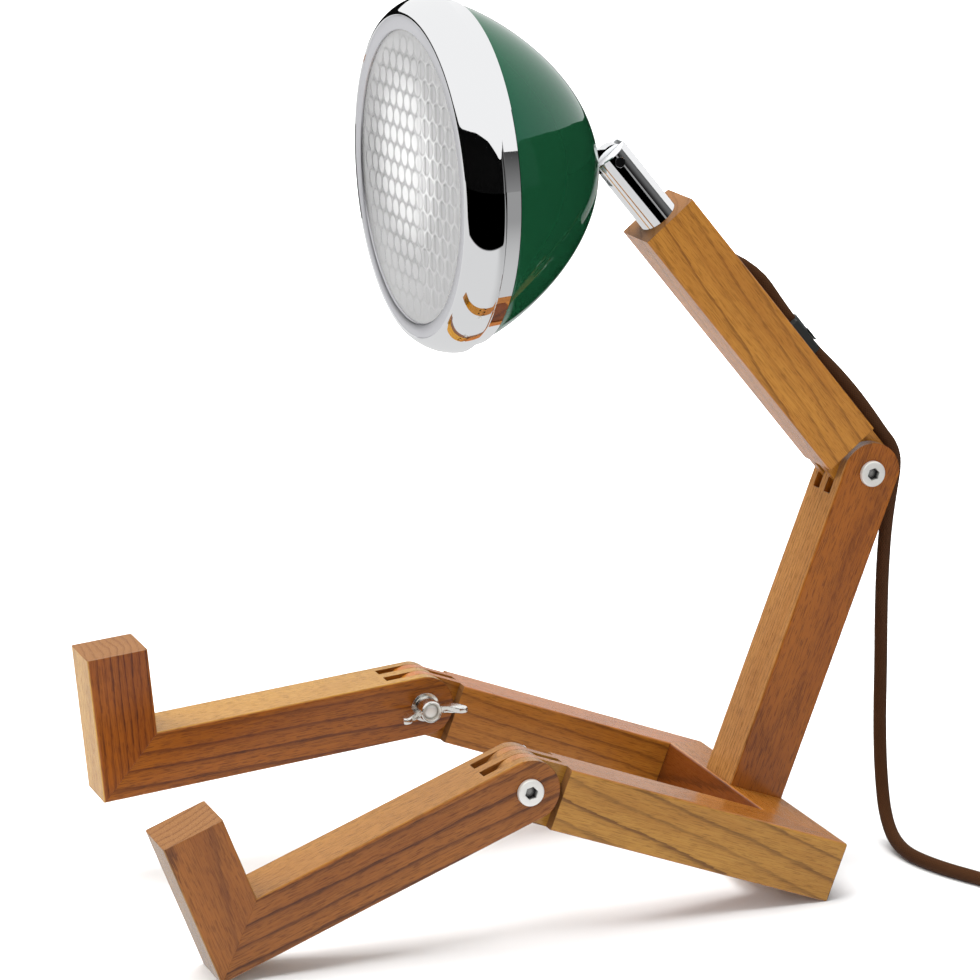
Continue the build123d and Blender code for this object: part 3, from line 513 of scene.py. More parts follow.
# grain, pith's place, tones, ring, tilt, line, pores, face tone with painted light and shade, calm
wood_parts = {
    "left_thigh": (
        (along(HIP_LEAN), (0.0, 0.071, 0.119), OLIVE),
        (0.0070, 6.5, 0.80, 0.35, (0.80, 0.58, 0.46), 0.85),
    ),
    "right_thigh": (
        (along(HIP_LEAN), (0.1, 0.004, 0.084), TAN),
        (0.0062, 3.0, 0.60, 0.40, (0.95, 0.80, 0.58), 0.85),
    ),
    "cross_bar": (
        (X_AXIS, (0.2, -0.020, -0.067), TAN),
        (0.0050, 3.0, 0.60, 0.40, (0.41, 0.27, 0.26), -0.7),
    ),
    "post": (
        (along(POST_LEAN), (0.3, 0.110, 0.007), RUSSET),
        (0.0022, 0.9, 0.60, 0.50, (1.32, 2.10, 8.5), -0.4),
    ),
    "upper_bar": (
        (along(UPPER_LEAN), (0.4, 0.050, 0.100), AMBER),
        (0.0055, 3.5, 0.70, 0.40, (0.88, 0.76, 0.38), 0.5),
    ),
    "left_shin": (
        (along(LEFT_LEAN), (0.5, -0.011, 0.0772), UMBER),
        (0.0076, 1.5, 0.80, 0.50, (0.98, 1.18, 0.40), 0.8),
    ),
    "right_shin": (
        (along(RIGHT_LEAN), (0.6, -0.015, 0.080), RUSSET),
        (0.0070, 2.0, 0.85, 0.50, (1.16, 1.87, 1.55), 0.8),
    ),
    "left_foot": (
        (back(LEFT_LEAN), (0.7, 0.070, 0.015), UMBER),
        (0.0045, 4.0, 0.60, 0.40, (1.0, 1.40, 1.6), 0.4),
    ),
    "right_foot": (
        (back(RIGHT_LEAN), (0.8, 0.010, 0.090), MAROON),
        (0.0030, 1.5, 0.95, 0.40, (1.75, 3.4, 6.5), 0.85),
    ),
}
for name, ((grain, offset, (light, dark)), figure_values) in wood_parts.items():
    across = X_AXIS if name != "cross_bar" else back(HIP_LEAN)
    corners = [Vector(corner) for corner in nodes[name].bound_box]
    centre = sum(corners, Vector()) / 8
    material = wood(f"wood_{name}", centre, grain, across, offset, light, dark, *figure_values)
    dress(name, material)
# the upper bar stays out of the enamel's reflection, which is an even green there
nodes["upper_bar"].visible_glossy = False


def metal(name, colour, rough, bevel=0.0, scratch=0.02, scale=900.0):
    """Metal with a fine smear and a faint cloud in its roughness."""
    n = Nodes(name)
    coordinates = n.place()
    smear = n.noise(coordinates, scale, 3.0)
    cloud = n.noise(coordinates, 45.0, 2.0)
    wear = n.math("ADD", n.math("MULTIPLY", smear, scratch), n.math("MULTIPLY", cloud, scratch))
    n.set(Base_Color=colour, Metallic=1.0, Roughness=n.math("ADD", wear, rough))
    if bevel:
        n.set(Normal=n.bump(smear, 0.00001, 0.25, n.bevel(bevel)))
    return n.material


def plastic(name, colour, rough, bevel, grain=0.00002):
    """Moulded material with a fine grain and slightly paler clouds."""
    n = Nodes(name)
    coordinates = n.place()
    speck = n.noise(coordinates, 2600.0, 2.0)
    cloud = n.noise(coordinates, 120.0, 2.0)
    paler = tuple(min(1.0, c * 1.5 + 0.004) for c in colour)
    colour = n.mix("MIX", n.math("MULTIPLY", cloud, 0.35), colour, paler)
    n.set(
        Base_Color=colour,
        Roughness=n.math("ADD", n.math("MULTIPLY", speck, 0.12), rough),
        Normal=n.bump(speck, grain, 0.6, n.bevel(bevel)),
    )
    return n.material


NECK_R = 0.00785


def socket_nickel():
    """Pale satin nickel of the bolt heads, with painted shade down in the socket."""
    n = Nodes("bolt_nickel")
    smear = n.noise(n.place(), 900.0, 3.0)
    # painted shade: the colour goes near black where the ambient occlusion finds the socket
    occlusion = n.add("ShaderNodeAmbientOcclusion", {"Distance": 0.003}, only_local=True, samples=8)
    open_part = occlusion.outputs["AO"]
    n.set(
        Base_Color=n.ramp(open_part, [(0.45, grey(0.01)), (0.92, (0.85, 0.84, 0.805))]),
        Metallic=0.55,
        Roughness=n.math("ADD", n.math("MULTIPLY", smear, 0.08), 0.36),
        Normal=n.bump(smear, 0.00001, 0.25, n.bevel(0.0002)),
    )
    return n.material


def neck_chrome():
    """Polished outside of the neck tube; its bore, slot and end are satin."""
    n = Nodes("neck_chrome")
    coordinates = n.place()
    smear = n.noise(coordinates, 900.0, 3.0)
    local = n.vector("SUBTRACT", coordinates, PIVOT)
    beside = n.vector("CROSS_PRODUCT", local, along(UPPER_LEAN))
    radius = n.vector("LENGTH", beside)
    inner = n.math("LESS_THAN", radius, NECK_R - 0.0003)
    n.set(
        Base_Color=(0.86, 0.865, 0.875),
        Metallic=n.math("SUBTRACT", 1.0, n.math("MULTIPLY", inner, 0.65)),
        Roughness=n.math("ADD", n.math("MULTIPLY", smear, 0.01), n.math("MULTIPLY", inner, 0.30)),
        Normal=n.bump(smear, 0.00001, 0.25, n.bevel(0.0002)),
    )
    return n.material


chrome = metal("chrome", (0.86, 0.865, 0.875), 0.015, 0.0, 0.01)
chrome_edge = metal("chrome_edge", (0.86, 0.865, 0.875), 0.02, 0.0002, 0.01)
nickel = metal("nickel", (0.88, 0.865, 0.825), 0.12, 0.0002, 0.08)
bolt_nickel = socket_nickel()
dark_pin = metal("dark_pin", (0.030, 0.030, 0.032), 0.34, 0.0002, 0.08)
zinc = metal("zinc", (0.58, 0.60, 0.62), 0.28, 0.0002, 0.18)
satin = metal("satin_lip", (0.76, 0.76, 0.79), 0.26, 0.0002, 0.08)
bright = metal("reflector_bright", (0.97, 0.97, 0.965), 0.40, 0.0, 0.08, 300.0)
black = plastic("black_plastic", (0.016, 0.018, 0.018), 0.40, 0.0003)
rubber = plastic("gasket_rubber", (0.020, 0.020, 0.020), 0.62, 0.0003, 0.00004)
ceramic = plastic("ceramic", (0.80, 0.78, 0.74), 0.22, 0.0004, 0.00001)


def enamel():
    """Glossy green enamel with a faint orange peel."""
    n = Nodes("green_enamel")
    coordinates = n.place()
    peel = n.noise(coordinates, 420.0, 2.0)
    cloud = n.noise(coordinates, 28.0, 2.0)
    colour = n.mix("MIX", cloud, (0.0066, 0.0520, 0.0210), (0.0078, 0.0600, 0.0250))
    n.set(
        Base_Color=colour,
        Roughness=0.03,
        Specular_IOR_Level=0.5,
        Specular_Tint=(0.35, 1.0, 0.90),
        IOR=1.50,
        Normal=n.bump(peel, 0.000012, 0.5),
    )
    return n.material


def opal():
    """White diffuser of the unlit lamp."""
    n = Nodes("led_opal")
    cloud = n.noise(n.place(), 90.0, 2.0)
    n.set(
        Base_Color=n.mix("MIX", cloud, (0.90, 0.89, 0.85), (0.84, 0.83, 0.80)),
        Roughness=0.35,
    )
    return n.material


# pressed lens: radius, width and row height of the cells, radius of the patterned part
LENS_R = 0.0610
CELL = 0.0080
ROW = 0.0072
PATTERN_R = 0.0545
LIT_ABOVE = 0.12
# painted glow of the bright dish behind the lens, put into the glass's colour, by the distance from its
# brightest place in lens radii
DISH_GLOW = [(0.0, grey(0.62)), (0.35, grey(0.54)), (0.65, grey(0.36)), (1.0, grey(0.34))]


def pressed_glass():
    """Clear pressed glass over a bright reflector, whose light is painted into its colour: milky, with the
    cells' borders in painted light and shade and in relief.
    """
    n = Nodes("lens_glass")
    local = n.vector("SUBTRACT", n.place(), PIVOT)
    across = n.vector("DOT_PRODUCT", local, X_AXIS)
    upward = n.vector("DOT_PRODUCT", local, along(HEAD_LEAN).cross(X_AXIS))

    # distance to the nearest cell's middle, and how far beside it
    nearest, beside = None, None
    for shift in (0.0, 0.5):
        column = n.math("ADD", across, shift * CELL)
        row = n.math("ADD", upward, 2 * shift * ROW)
        wrapped = []
        for value, half in ((column, CELL / 2), (row, ROW)):
            wrap = n.add("ShaderNodeMath", {0: value, 1: half, 2: -half}, operation="WRAP")
            wrapped.append(wrap.outputs[0])
        centre = n.add("ShaderNodeCombineXYZ", {0: wrapped[0], 1: wrapped[1]}).outputs[0]
        far = n.vector("LENGTH", centre)
        if nearest is None:
            nearest, beside = far, wrapped[0]
        else:
            closer = n.math("LESS_THAN", far, nearest)
            other = n.math("MULTIPLY", beside, n.math("SUBTRACT", 1.0, closer))
            beside = n.math("ADD", n.math("MULTIPLY", wrapped[0], closer), other)
            nearest = n.math("MINIMUM", nearest, far)

    flat = n.add("ShaderNodeCombineXYZ", {0: across, 1: upward}).outputs[0]
    radius = n.math("DIVIDE", n.vector("LENGTH", flat), LENS_R)
    from_lit_up = n.math("SUBTRACT", upward, LIT_ABOVE * LENS_R)
    lit = n.add("ShaderNodeCombineXYZ", {0: across, 1: from_lit_up}).outputs[0]
    from_lit = n.math("DIVIDE", n.vector("LENGTH", lit), LENS_R)
    inside = n.fade(radius, PATTERN_R / LENS_R + 0.02, PATTERN_R / LENS_R - 0.06)
    border = n.fade(n.math("DIVIDE", nearest, CELL), 0.36, 0.52, smooth=True)
    centred = n.ramp(from_lit, [(0.35, grey(1.0)), (0.95, grey(0.22))], smooth=True)
    shown = n.math("MULTIPLY", inside, centred)

    # painted light and shade: the cells on the near side look clear with light borders and a dark streak,
    # the others milky, and the glass darkens towards the far side
    glow = n.ramp(from_lit, DISH_GLOW, smooth=True)
    sideways = n.math("DIVIDE", across, LENS_R)
    far_side_shade = n.ramp(n.math("ADD", sideways, 1.0), [(0.05, grey(0.66)), (0.60, grey(1.0))], smooth=True)
    glow = n.mix("MULTIPLY", 1.0, glow, far_side_shade)
    patchy = n.noise(n.vector("MULTIPLY", flat, (70.0, 22.0, 1.0)), 1.0, 2.0)
    near_side = n.math("ADD", sideways, n.math("MULTIPLY", patchy, 0.30))
    clear = n.fade(near_side, 0.22, 0.50, smooth=True)
    streak_place = n.math("ABSOLUTE", n.math("ADD", n.math("DIVIDE", beside, CELL), 0.10))
    streak_shade = n.fade(streak_place, 0.16, 0.04, smooth=True)
    milky = n.mix("MIX", border, grey(1.18), grey(0.66))
    see_through = n.mix("MIX", border, n.mix("MIX", streak_shade, grey(0.90), grey(0.50)), grey(1.32))
    cells = n.mix("MIX", shown, grey(1.0), n.mix("MIX", clear, milky, see_through))
    sunk = n.math("MULTIPLY", n.math("MULTIPLY", border, shown), -1.0)
    n.set(
        Base_Color=n.mix("MULTIPLY", 1.0, glow, cells),
        Roughness=0.09,
        IOR=1.50,
        Transmission_Weight=0.25,
        Normal=n.bump(sunk, 0.00070, 0.8),
    )
    return n.material


def braid():
    """Braided textile: two families of slanted threads from the tube's own length and turn, with painted
    shade down between them.
    """
    n = Nodes("cord_braid")
    uv = n.add("ShaderNodeUVMap", uv_map="length_turn").outputs[0]
    parts = n.add("ShaderNodeSeparateXYZ", {0: uv})
    length = n.math("MULTIPLY", parts.outputs[0], 620.0)
    turns = n.math("MULTIPLY", parts.outputs[1], 16.0)
    one = n.math("SINE", n.math("MULTIPLY", n.math("ADD", length, turns), 2 * math.pi))
    two = n.math("SINE", n.math("MULTIPLY", n.math("SUBTRACT", length, turns), 2 * math.pi))
    weave = n.math("MAXIMUM", one, two)
    height = n.math("ADD", n.math("MULTIPLY", weave, 0.5), 0.5)
    coordinates = n.place()
    fibre = n.noise(coordinates, 3200.0, 2.0)
    tone = n.noise(coordinates, 60.0, 2.0)
    # painted shade: the colour darkens down between the threads, where the weave is low
    colour = n.mix("MIX", height, (0.023, 0.0085, 0.0030), (0.066, 0.025, 0.0085))
    colour = n.mix("MIX", n.math("MULTIPLY", tone, 0.5), colour, (0.046, 0.018, 0.0065))
    n.set(
        Base_Color=colour,
        Roughness=0.80,
        Specular_IOR_Level=0.15,
        Normal=n.bump(n.math("ADD", height, n.math("MULTIPLY", fibre, 0.35)), 0.00018, 0.8),
    )
    return n.material


green = enamel()
opal_white = opal()
glass = pressed_glass()
textile = braid()
for material, names in (
    (zinc, ("post_screw", "stem_nut", "lens_clips")),
    (black, ("inner_lead", "cord_bush", "cord_clip", "dimmer_module", "plug_relief", "plug_body")),
    (rubber, ("lens_gasket",)),
    (ceramic, ("lamp_holder",)),
    (chrome_edge, ("knuckle",)),
    (dark_pin, ("knuckle_pin",)),
    (neck_chrome(), ("neck_tube",)),
    (nickel, ("left_knee_washer", "right_knee_washer", "waist_washer", "plug_pins")),
):
    for name in names:
        dress(name, material)

# ---------------------------------------------------------------- cord piece
cord = tube("cord", cord_path, CORD_R, 14, textile)
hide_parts("cord_upper", "cord_bend", "cord_lower", "cord_coil")
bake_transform(cord)

# ---------------------------------------------------------------- head
head_frame = frame_at(PIVOT, X_AXIS, along(HEAD_LEAN))
BOWL_END = 0.0641
BOWL_DEPTH = 0.0543
BOWL_R = 0.0655
BOWL_POWER = 1.2
CROWN_FLAT = 0.0103
CROWN_R = 0.0066
CROWN_WALL = 0.0015
STEM_HOLE_R = 0.00405
SHELL = 0.0012


def bowl_points(depth, radius, count=46):
    """Bowl profile from the rim to where it meets the flat crown."""
    points = []
    for step in range(count + 1):
        back_by = math.sin(math.radians(90 * step / count)) ** 1.5
        share = math.sqrt(max(0.0, 1 - back_by**BOWL_POWER))
        points.append((BOWL_END - depth * back_by, radius * share))
    return points


outer = [p for p in bowl_points(BOWL_DEPTH, BOWL_R) if p[0] > CROWN_FLAT + 0.0001]
inner_all = bowl_points(BOWL_DEPTH - SHELL, BOWL_R - SHELL)
inner = [p for p in inner_all if p[0] > CROWN_FLAT + CROWN_WALL + 0.0001]
crown = [
    (CROWN_FLAT, CROWN_R),
    (CROWN_FLAT, STEM_HOLE_R),
    (CROWN_FLAT + CROWN_WALL, STEM_HOLE_R),
    (CROWN_FLAT + CROWN_WALL, CROWN_R),
]
bowl_profile = outer + crown + inner[::-1]
bowl = lathe("bowl_shell", bowl_profile, head_frame, green, 160, closed=True)
finish_piece(bowl, "head", "green_enamel", "bowl")

FLANGE = 0.0851
FLANGE_R = 0.0630
BAND_FROM = 0.0713
BAND_R = 0.0690
STEP_AT = 0.0707
RING_WALL = 0.0012
band_curve_r = ((FLANGE - BAND_FROM) ** 2 + (BAND_R - FLANGE_R) ** 2) / (2 * (BAND_R - FLANGE_R))
band_centre = (BAND_FROM, BAND_R - band_curve_r)
sweep = math.degrees(math.asin((FLANGE - BAND_FROM) / band_curve_r))
band_outer = arc(band_centre, band_curve_r, 90, 90 - sweep, 18)
band_inner = arc(band_centre, band_curve_r - RING_WALL, 90 - sweep + 3, 90, 10)
step_outer = [
    (BOWL_END, 0.0662),
    (BOWL_END + 0.0003, 0.0665),
    (STEP_AT - 0.0003, 0.0670),
    (STEP_AT, 0.0672),
    (STEP_AT, 0.0682),
    (STEP_AT + 0.0001, 0.0688),
]
rim = [
    (FLANGE - 0.0002, FLANGE_R + 0.0001),
    (FLANGE, FLANGE_R - 0.0003),
    (FLANGE, FLANGE_R - 0.0010),
    (FLANGE - 0.0003, FLANGE_R - RING_WALL),
    (FLANGE - RING_WALL, FLANGE_R - RING_WALL),
]
step_inner = [(STEP_AT, 0.0658), (BOWL_END, 0.0653)]
ring_profile = step_outer + band_outer[:-1] + rim + band_inner + step_inner
ring = lathe("trim_band", ring_profile, head_frame, chrome, 192, closed=True, sharp=28)
finish_piece(ring, "head", "chrome", "trim_ring")

BEZEL_BACK = FLANGE - RING_WALL
lip_profile = [
    (BEZEL_BACK, 0.0618),
    (BEZEL_BACK + 0.0010, 0.0618),
    (BEZEL_BACK + 0.0010, 0.0571),
    (BEZEL_BACK + 0.0007, 0.0566),
    (BEZEL_BACK + 0.0003, 0.0565),
    (BEZEL_BACK, 0.0565),
]
lip = lathe("lens_lip", lip_profile, head_frame, satin, 160, closed=True)
finish_piece(lip, "head", "satin_lip", "bezel")

# pressed lens: smooth dome in front, honeycomb of shallow pillows behind
LENS_EDGE = 0.0030
LENS_DOME = 0.0010
LENS_DOME_R = 0.0560
LENS_STEPS = 240
PILLOW = 0.00060
PILLOW_R = CELL * 0.56
GRID_STEP = 0.00060
ROW_STEP = 0.866


def honeycomb(x, y):
    """0 to 1 height of the pillow nearest to a point; 0 along the cells' borders."""
    best = 1.0
    row = round(y / ROW)
    for r in (row - 1, row, row + 1):
        shift = 0.5 * CELL if r % 2 else 0.0
        column = round((x - shift) / CELL)
        for c in (column - 1, column, column + 1):
            dx = x - (c * CELL + shift)
            dy = y - r * ROW
            best = min(best, math.hypot(dx, dy) / PILLOW_R)
    return max(0.0, 1 - best**2)


def lens_mesh():
    """Lens of triangles in even rows, with a rim of two rings bridged to both faces."""
    bm = bmesh.new()
    rows = int(PATTERN_R * 1.16 / (GRID_STEP * ROW_STEP))
    grid = {}
    for r in range(-rows, rows + 1):
        for c in range(-rows, rows + 1):
            x = (c + 0.5 * (r % 2)) * GRID_STEP
            y = r * GRID_STEP * ROW_STEP
            if math.hypot(x, y) < LENS_DOME_R:
                grid[r, c] = (x, y)

    def put(x, y, behind):
        radius = math.hypot(x, y)
        if behind:
            fade = min(1.0, max(0.0, (PATTERN_R + 0.004 - radius) / 0.006))
            height = BEZEL_BACK - LENS_EDGE - PILLOW * honeycomb(x, y) * fade
        else:
            height = BEZEL_BACK + LENS_DOME * (1 - (radius / LENS_DOME_R) ** 2)
        return bm.verts.new(head_frame @ Vector((x, y, height)))

    for behind in (False, True):
        verts = {key: put(x, y, behind) for key, (x, y) in grid.items()}
        for (r, c), v in verts.items():
            above = (r + 1, c + r % 2)
            above_left = (r + 1, c + r % 2 - 1)
            for a, b in (((r, c + 1), above), (above, above_left)):
                if a in verts and b in verts:
                    bm.faces.new((v, verts[a], verts[b]))
    edges = [e for e in bm.edges if len(e.link_faces) == 1]
    loops = {False: [], True: []}
    for e in edges:
        middle = head_frame.inverted() @ ((e.verts[0].co + e.verts[1].co) / 2)
        loops[middle.z < BEZEL_BACK - LENS_EDGE / 2].append(e)
    rims = []
    for radius, height in ((LENS_R, BEZEL_BACK), (LENS_R, BEZEL_BACK - LENS_EDGE)):
        ring_verts = []
        for k in range(LENS_STEPS):
            turn = 2 * math.pi * k / LENS_STEPS
            place = Vector((radius * math.cos(turn), radius * math.sin(turn), height))
            ring_verts.append(bm.verts.new(head_frame @ place))
        rims.append([bm.edges.new((a, b)) for a, b in zip(ring_verts, ring_verts[1:] + ring_verts[:1])])
    bmesh.ops.bridge_loops(bm, edges=rims[0] + rims[1])
    bmesh.ops.bridge_loops(bm, edges=rims[0] + loops[False])
    bmesh.ops.bridge_loops(bm, edges=rims[1] + loops[True])
    return from_bmesh("lens_pressed", bm, glass, 50)


lens = lens_mesh()
finish_piece(lens, "head", "lens_glass", "lens")

GASKET_H = 0.0015
DISH_WALL = 0.0008
DISH_MOUTH_R = 0.0570
DISH_HOLE_R = 0.0140
DISH_BACK = 0.0360
DISH_STEPS = 24
mouth = BEZEL_BACK - LENS_EDGE - GASKET_H


def dish_point(t):
    """Point on the reflector's parabola, t from 0 at its mouth to 1 at its back."""
    share = 1 - t * (1 - (DISH_HOLE_R / DISH_MOUTH_R) ** 2)
    return mouth - (mouth - DISH_BACK) * t, DISH_MOUTH_R * math.sqrt(share)


front_side = [dish_point(step / DISH_STEPS) for step in range(DISH_STEPS + 1)]
rear_side = [(at - DISH_WALL, radius + 0.0007) for at, radius in front_side[::-1]]
rear_side[0] = (DISH_BACK - DISH_WALL, DISH_HOLE_R)
reflector_profile = [(mouth - DISH_WALL, LENS_R), (mouth, LENS_R)] + front_side + rear_side
dish = lathe("reflector_dish", reflector_profile, head_frame, bright, 128, closed=True)
finish_piece(dish, "head", "reflector", "reflector")

BULB_R = 0.0090
BULB_FROM = 0.040
BULB_ROUND_AT = 0.0550
cap = [(BULB_FROM, 0.0), (BULB_FROM, BULB_R - 0.0002), (BULB_FROM + 0.0005, BULB_R), (0.050, BULB_R)]
bulb_round = arc((BULB_ROUND_AT, 0), BULB_R, 90, 0, 14)
bulb_profile = cap + bulb_round[:-1] + [(BULB_ROUND_AT + BULB_R, 0.0)]
bulb = lathe("led_lamp", bulb_profile, head_frame, opal_white, 64)
finish_piece(bulb, "head", "led_white", "led_bulb")

# ---------------------------------------------------------------- joint hardware
HEAD_R = 0.0053
HEAD_H = 0.0020
SHANK_R = 0.0030
HEAD_ROUND = 0.0006
HEX_R = 0.0023
SOCKET = 0.0026
TIP_ROUND = 0.0015
WASHER_H = 0.0010
NUT_H = 0.0080
BELOW_NUT = 0.0009


def bolt(name, centre, face_x, facing, body):
    """Bolt with a rounded flat head and a hex socket, its head's underside on the face."""
    place = frame_at(Vector((face_x, centre.y, centre.z)), Vector((0, 0.3, 1)), X_AXIS * facing)
    tip = 2 * HALF + WASHER_H + NUT_H - BELOW_NUT
    profile = [
        (HEAD_H - SOCKET, 0.0),
        (HEAD_H - SOCKET, HEX_R),
        (HEAD_H - 0.0002, HEX_R),
        (HEAD_H, HEX_R * 1.08),
        (HEAD_H, HEX_R * 1.35),
    ]
    profile += arc((HEAD_H - HEAD_ROUND, HEAD_R - HEAD_ROUND), HEAD_ROUND, 0, 90, 5)
    profile += [(0.0002, HEAD_R), (0.0, HEAD_R - 0.0002), (0.0, SHANK_R), (TIP_ROUND - tip, SHANK_R)]
    profile += arc((TIP_ROUND - tip, SHANK_R - TIP_ROUND), TIP_ROUND, 90, 180, 5)
    profile += [(-tip, 0.0)]
    obj = lathe(name, profile, place, bolt_nickel, 72, hexed=(1, 2, 3), sharp=30)
    return finish_piece(obj, body, "nickel")


# half section of the wing nut's hub: height, radius
HUB = [
    (0.0, 0.00305),
    (0.0, 0.0045),
    (0.0003, 0.00475),
    (0.0020, 0.00465),
    (0.0070, 0.00455),
    (0.0077, 0.0044),
    (0.0080, 0.0041),
    (0.0079, 0.0038),
    (0.0071, 0.00335),
    (0.0066, 0.00305),
]
# outline of one wing: distance from the axis, height
WING = [
    (0.0034, 0.0012),
    (0.0070, 0.0024),
    (0.0105, 0.0052),
    (0.0132, 0.0080),
    (0.0140, 0.0104),
    (0.0139, 0.0124),
    (0.0128, 0.0132),
    (0.0112, 0.0130),
    (0.0099, 0.0118),
    (0.0086, 0.0096),
    (0.0072, 0.0076),
    (0.0055, 0.0066),
    (0.0034, 0.0064),
]
WING_HALF = 0.0013
WING_ROUND = 0.0008


def wing_nut(name, centre, face_x, facing, lean, body):
    """Cast wing nut: a waisted hub and two rounded wings that sweep outwards."""
    base = frame_at(Vector((face_x, centre.y, centre.z)), along(lean), X_AXIS * facing)
    bm = bmesh.new()
    lathe_into(bm, HUB, base, 56, closed=True)
    for way in (-1, 1):
        cap = {}
        for side in (-1, 1):
            ring_verts = []
            for x, z in WING:
                ring_verts.append(bm.verts.new(base @ Vector((way * x, side * WING_HALF, z))))
            cap[side] = ring_verts
            bm.faces.new(ring_verts)
        for k in range(len(WING)):
            j = (k + 1) % len(WING)
            bm.faces.new((cap[-1][k], cap[-1][j], cap[1][j], cap[1][k]))
        rim = [e for e in bm.edges if set(e.verts) <= set(cap[1]) or set(e.verts) <= set(cap[-1])]
        rim = [e for e in rim if any(len(f.verts) > 4 for f in e.link_faces)]
        bmesh.ops.bevel(bm, geom=rim, offset=WING_ROUND, segments=4, affect="EDGES", profile=0.5)
    obj = from_bmesh(name, bm, nickel, 40)
    return finish_piece(obj, body, "nickel")


WING_LEAN = 95.0
for name, centre, face_x, facing, lean, leg, nut in (
    ("left_knee", KNEE, OUTER_X, 1, LEFT_LEAN, "left_lower_leg", "left_knee_nut"),
    ("right_knee", KNEE, -OUTER_X, -1, WING_LEAN, "right_lower_leg", "right_knee_nut"),
    ("waist", WAIST, HALF, 1, POST_LEAN, "hip", "waist_nut"),
):
    head_bolt = bolt(f"{name}_screw", centre, face_x, facing, leg)
    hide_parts(f"{name}_bolt")
    nut_x = face_x - facing * (2 * HALF + WASHER_H)
    nut_piece = wing_nut(f"{name}_nut_wings", centre, nut_x, -facing, lean, nut)
    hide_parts(f"{name}_wing_nut")

# ---------------------------------------------------------------- studio
scene = bpy.context.scene
scene.view_settings.view_transform = "Standard"
scene.world = bpy.data.worlds.new("studio")
scene.world.use_nodes = True
world_tree = scene.world.node_tree


def seen_directly(tree):
    """Two factors: 1 for what the camera or the glass sees, and 1 for what shiny pieces mirror."""
    paths = tree.nodes.new("ShaderNodeLightPath")
    either = tree.nodes.new("ShaderNodeMath")
    either.operation = "MAXIMUM"
    tree.links.new(paths.outputs["Is Camera Ray"], either.inputs[0])
    tree.links.new(paths.outputs["Is Transmission Ray"], either.inputs[1])
    return either.outputs[0], paths.outputs["Is Glossy Ray"]


direct, mirrored = seen_directly(world_tree)
either = world_tree.nodes.new("ShaderNodeMath")
either.operation = "MAXIMUM"
world_tree.links.new(direct, either.inputs[0])
world_tree.links.new(mirrored, either.inputs[1])
backgrounds = [world_tree.nodes["Background"], world_tree.nodes.new("ShaderNodeBackground")]
WORLD_LIGHT = 0.52
for background, strength in zip(backgrounds, (WORLD_LIGHT, 1.0)):
    background.inputs["Color"].default_value = (1, 1, 1, 1)
    background.inputs["Strength"].default_value = strength
world_mix = world_tree.nodes.new("ShaderNodeMixShader")
world_tree.links.new(either.outputs[0], world_mix.inputs[0])
world_tree.links.new(backgrounds[0].outputs[0], world_mix.inputs[1])
world_tree.links.new(backgrounds[1].outputs[0], world_mix.inputs[2])
world_tree.links.new(world_mix.outputs[0], world_tree.nodes["World Output"].inputs[0])

# pale floor, over-exposed for the camera as a studio sweep is, so that only the deeper shadows stay
FLOOR_SIZE = 4.1
FLOOR_TONE = 0.86
SEEN_TONE = 0.80
FLOOR_LIFT = 0.0
FAR_LIFT = 1.0
LIFT_FROM = 0.40
LIFT_TO = 0.95
floor_mesh = bpy.data.meshes.new("floor")
floor_corners = [(x * FLOOR_SIZE, y * FLOOR_SIZE, 0) for x, y in ((-1, -1), (1, -1), (1, 1), (-1, 1))]
floor_mesh.from_pydata(floor_corners, [], [(0, 1, 2, 3)])
floor = add_object("floor", floor_mesh)
pale = Nodes("floor_pale")
direct, mirrored = seen_directly(pale.tree)
tone = pale.mix("MIX", direct, grey(FLOOR_TONE), grey(SEEN_TONE))
spot = pale.place()
away = pale.vector("LENGTH", spot)


def soft_step(value, start, end, low, high):
    """Goes smoothly from low to high while the value goes from start to end."""
    span = {0: value, 1: start, 2: end, 3: low, 4: high}
    return pale.add("ShaderNodeMapRange", span, interpolation_type="SMOOTHSTEP").outputs[0]


lift = soft_step(away, LIFT_FROM, LIFT_TO, FLOOR_LIFT, FAR_LIFT)
pale.set(
    Base_Color=tone,
    Roughness=0.9,
    Specular_IOR_Level=0.0,
    Emission_Color=(1.0, 1.0, 1.0),
    Emission_Strength=pale.math("MULTIPLY", direct, lift),
)
# in the shiny pieces it is a table top with painted light and shade: light, with a painted shadow of the
# lamp greyer behind its left side and darker further off, a little lighter far to the left, black past its
# edges
TABLE_LIGHT = 0.76
REAR_LIGHT = 0.62
FAR_LIGHT = 0.34
TABLE_FRONT = 0.398
TABLE_REAR = 0.22
axes = pale.add("ShaderNodeSeparateXYZ", {0: spot})
side, rear = axes.outputs[0], axes.outputs[1]
# painted shadow of the lamp on the table: where it falls, and how deep it gets further off
head_shadow_zone = pale.math("MULTIPLY", soft_step(side, 0.0, 0.08, 0.0, 1.0), soft_step(rear, 0.0, 0.08, 0.0, 1.0))
rear_light = soft_step(away, 0.15, 0.80, REAR_LIGHT, FAR_LIGHT)
head_shadow_depth = pale.math("SUBTRACT", rear_light, TABLE_LIGHT)
table = pale.math("ADD", TABLE_LIGHT, pale.math("MULTIPLY", head_shadow_zone, head_shadow_depth))
table = pale.math("ADD", table, soft_step(side, -1.1, -0.55, 0.08, 0.0))


def sloped(value, along_it, start, slope):
    """The value less a slope times how far another value is past its start."""
    return pale.math("SUBTRACT", value, pale.math("MULTIPLY", pale.math("MAXIMUM", along_it, start), slope))


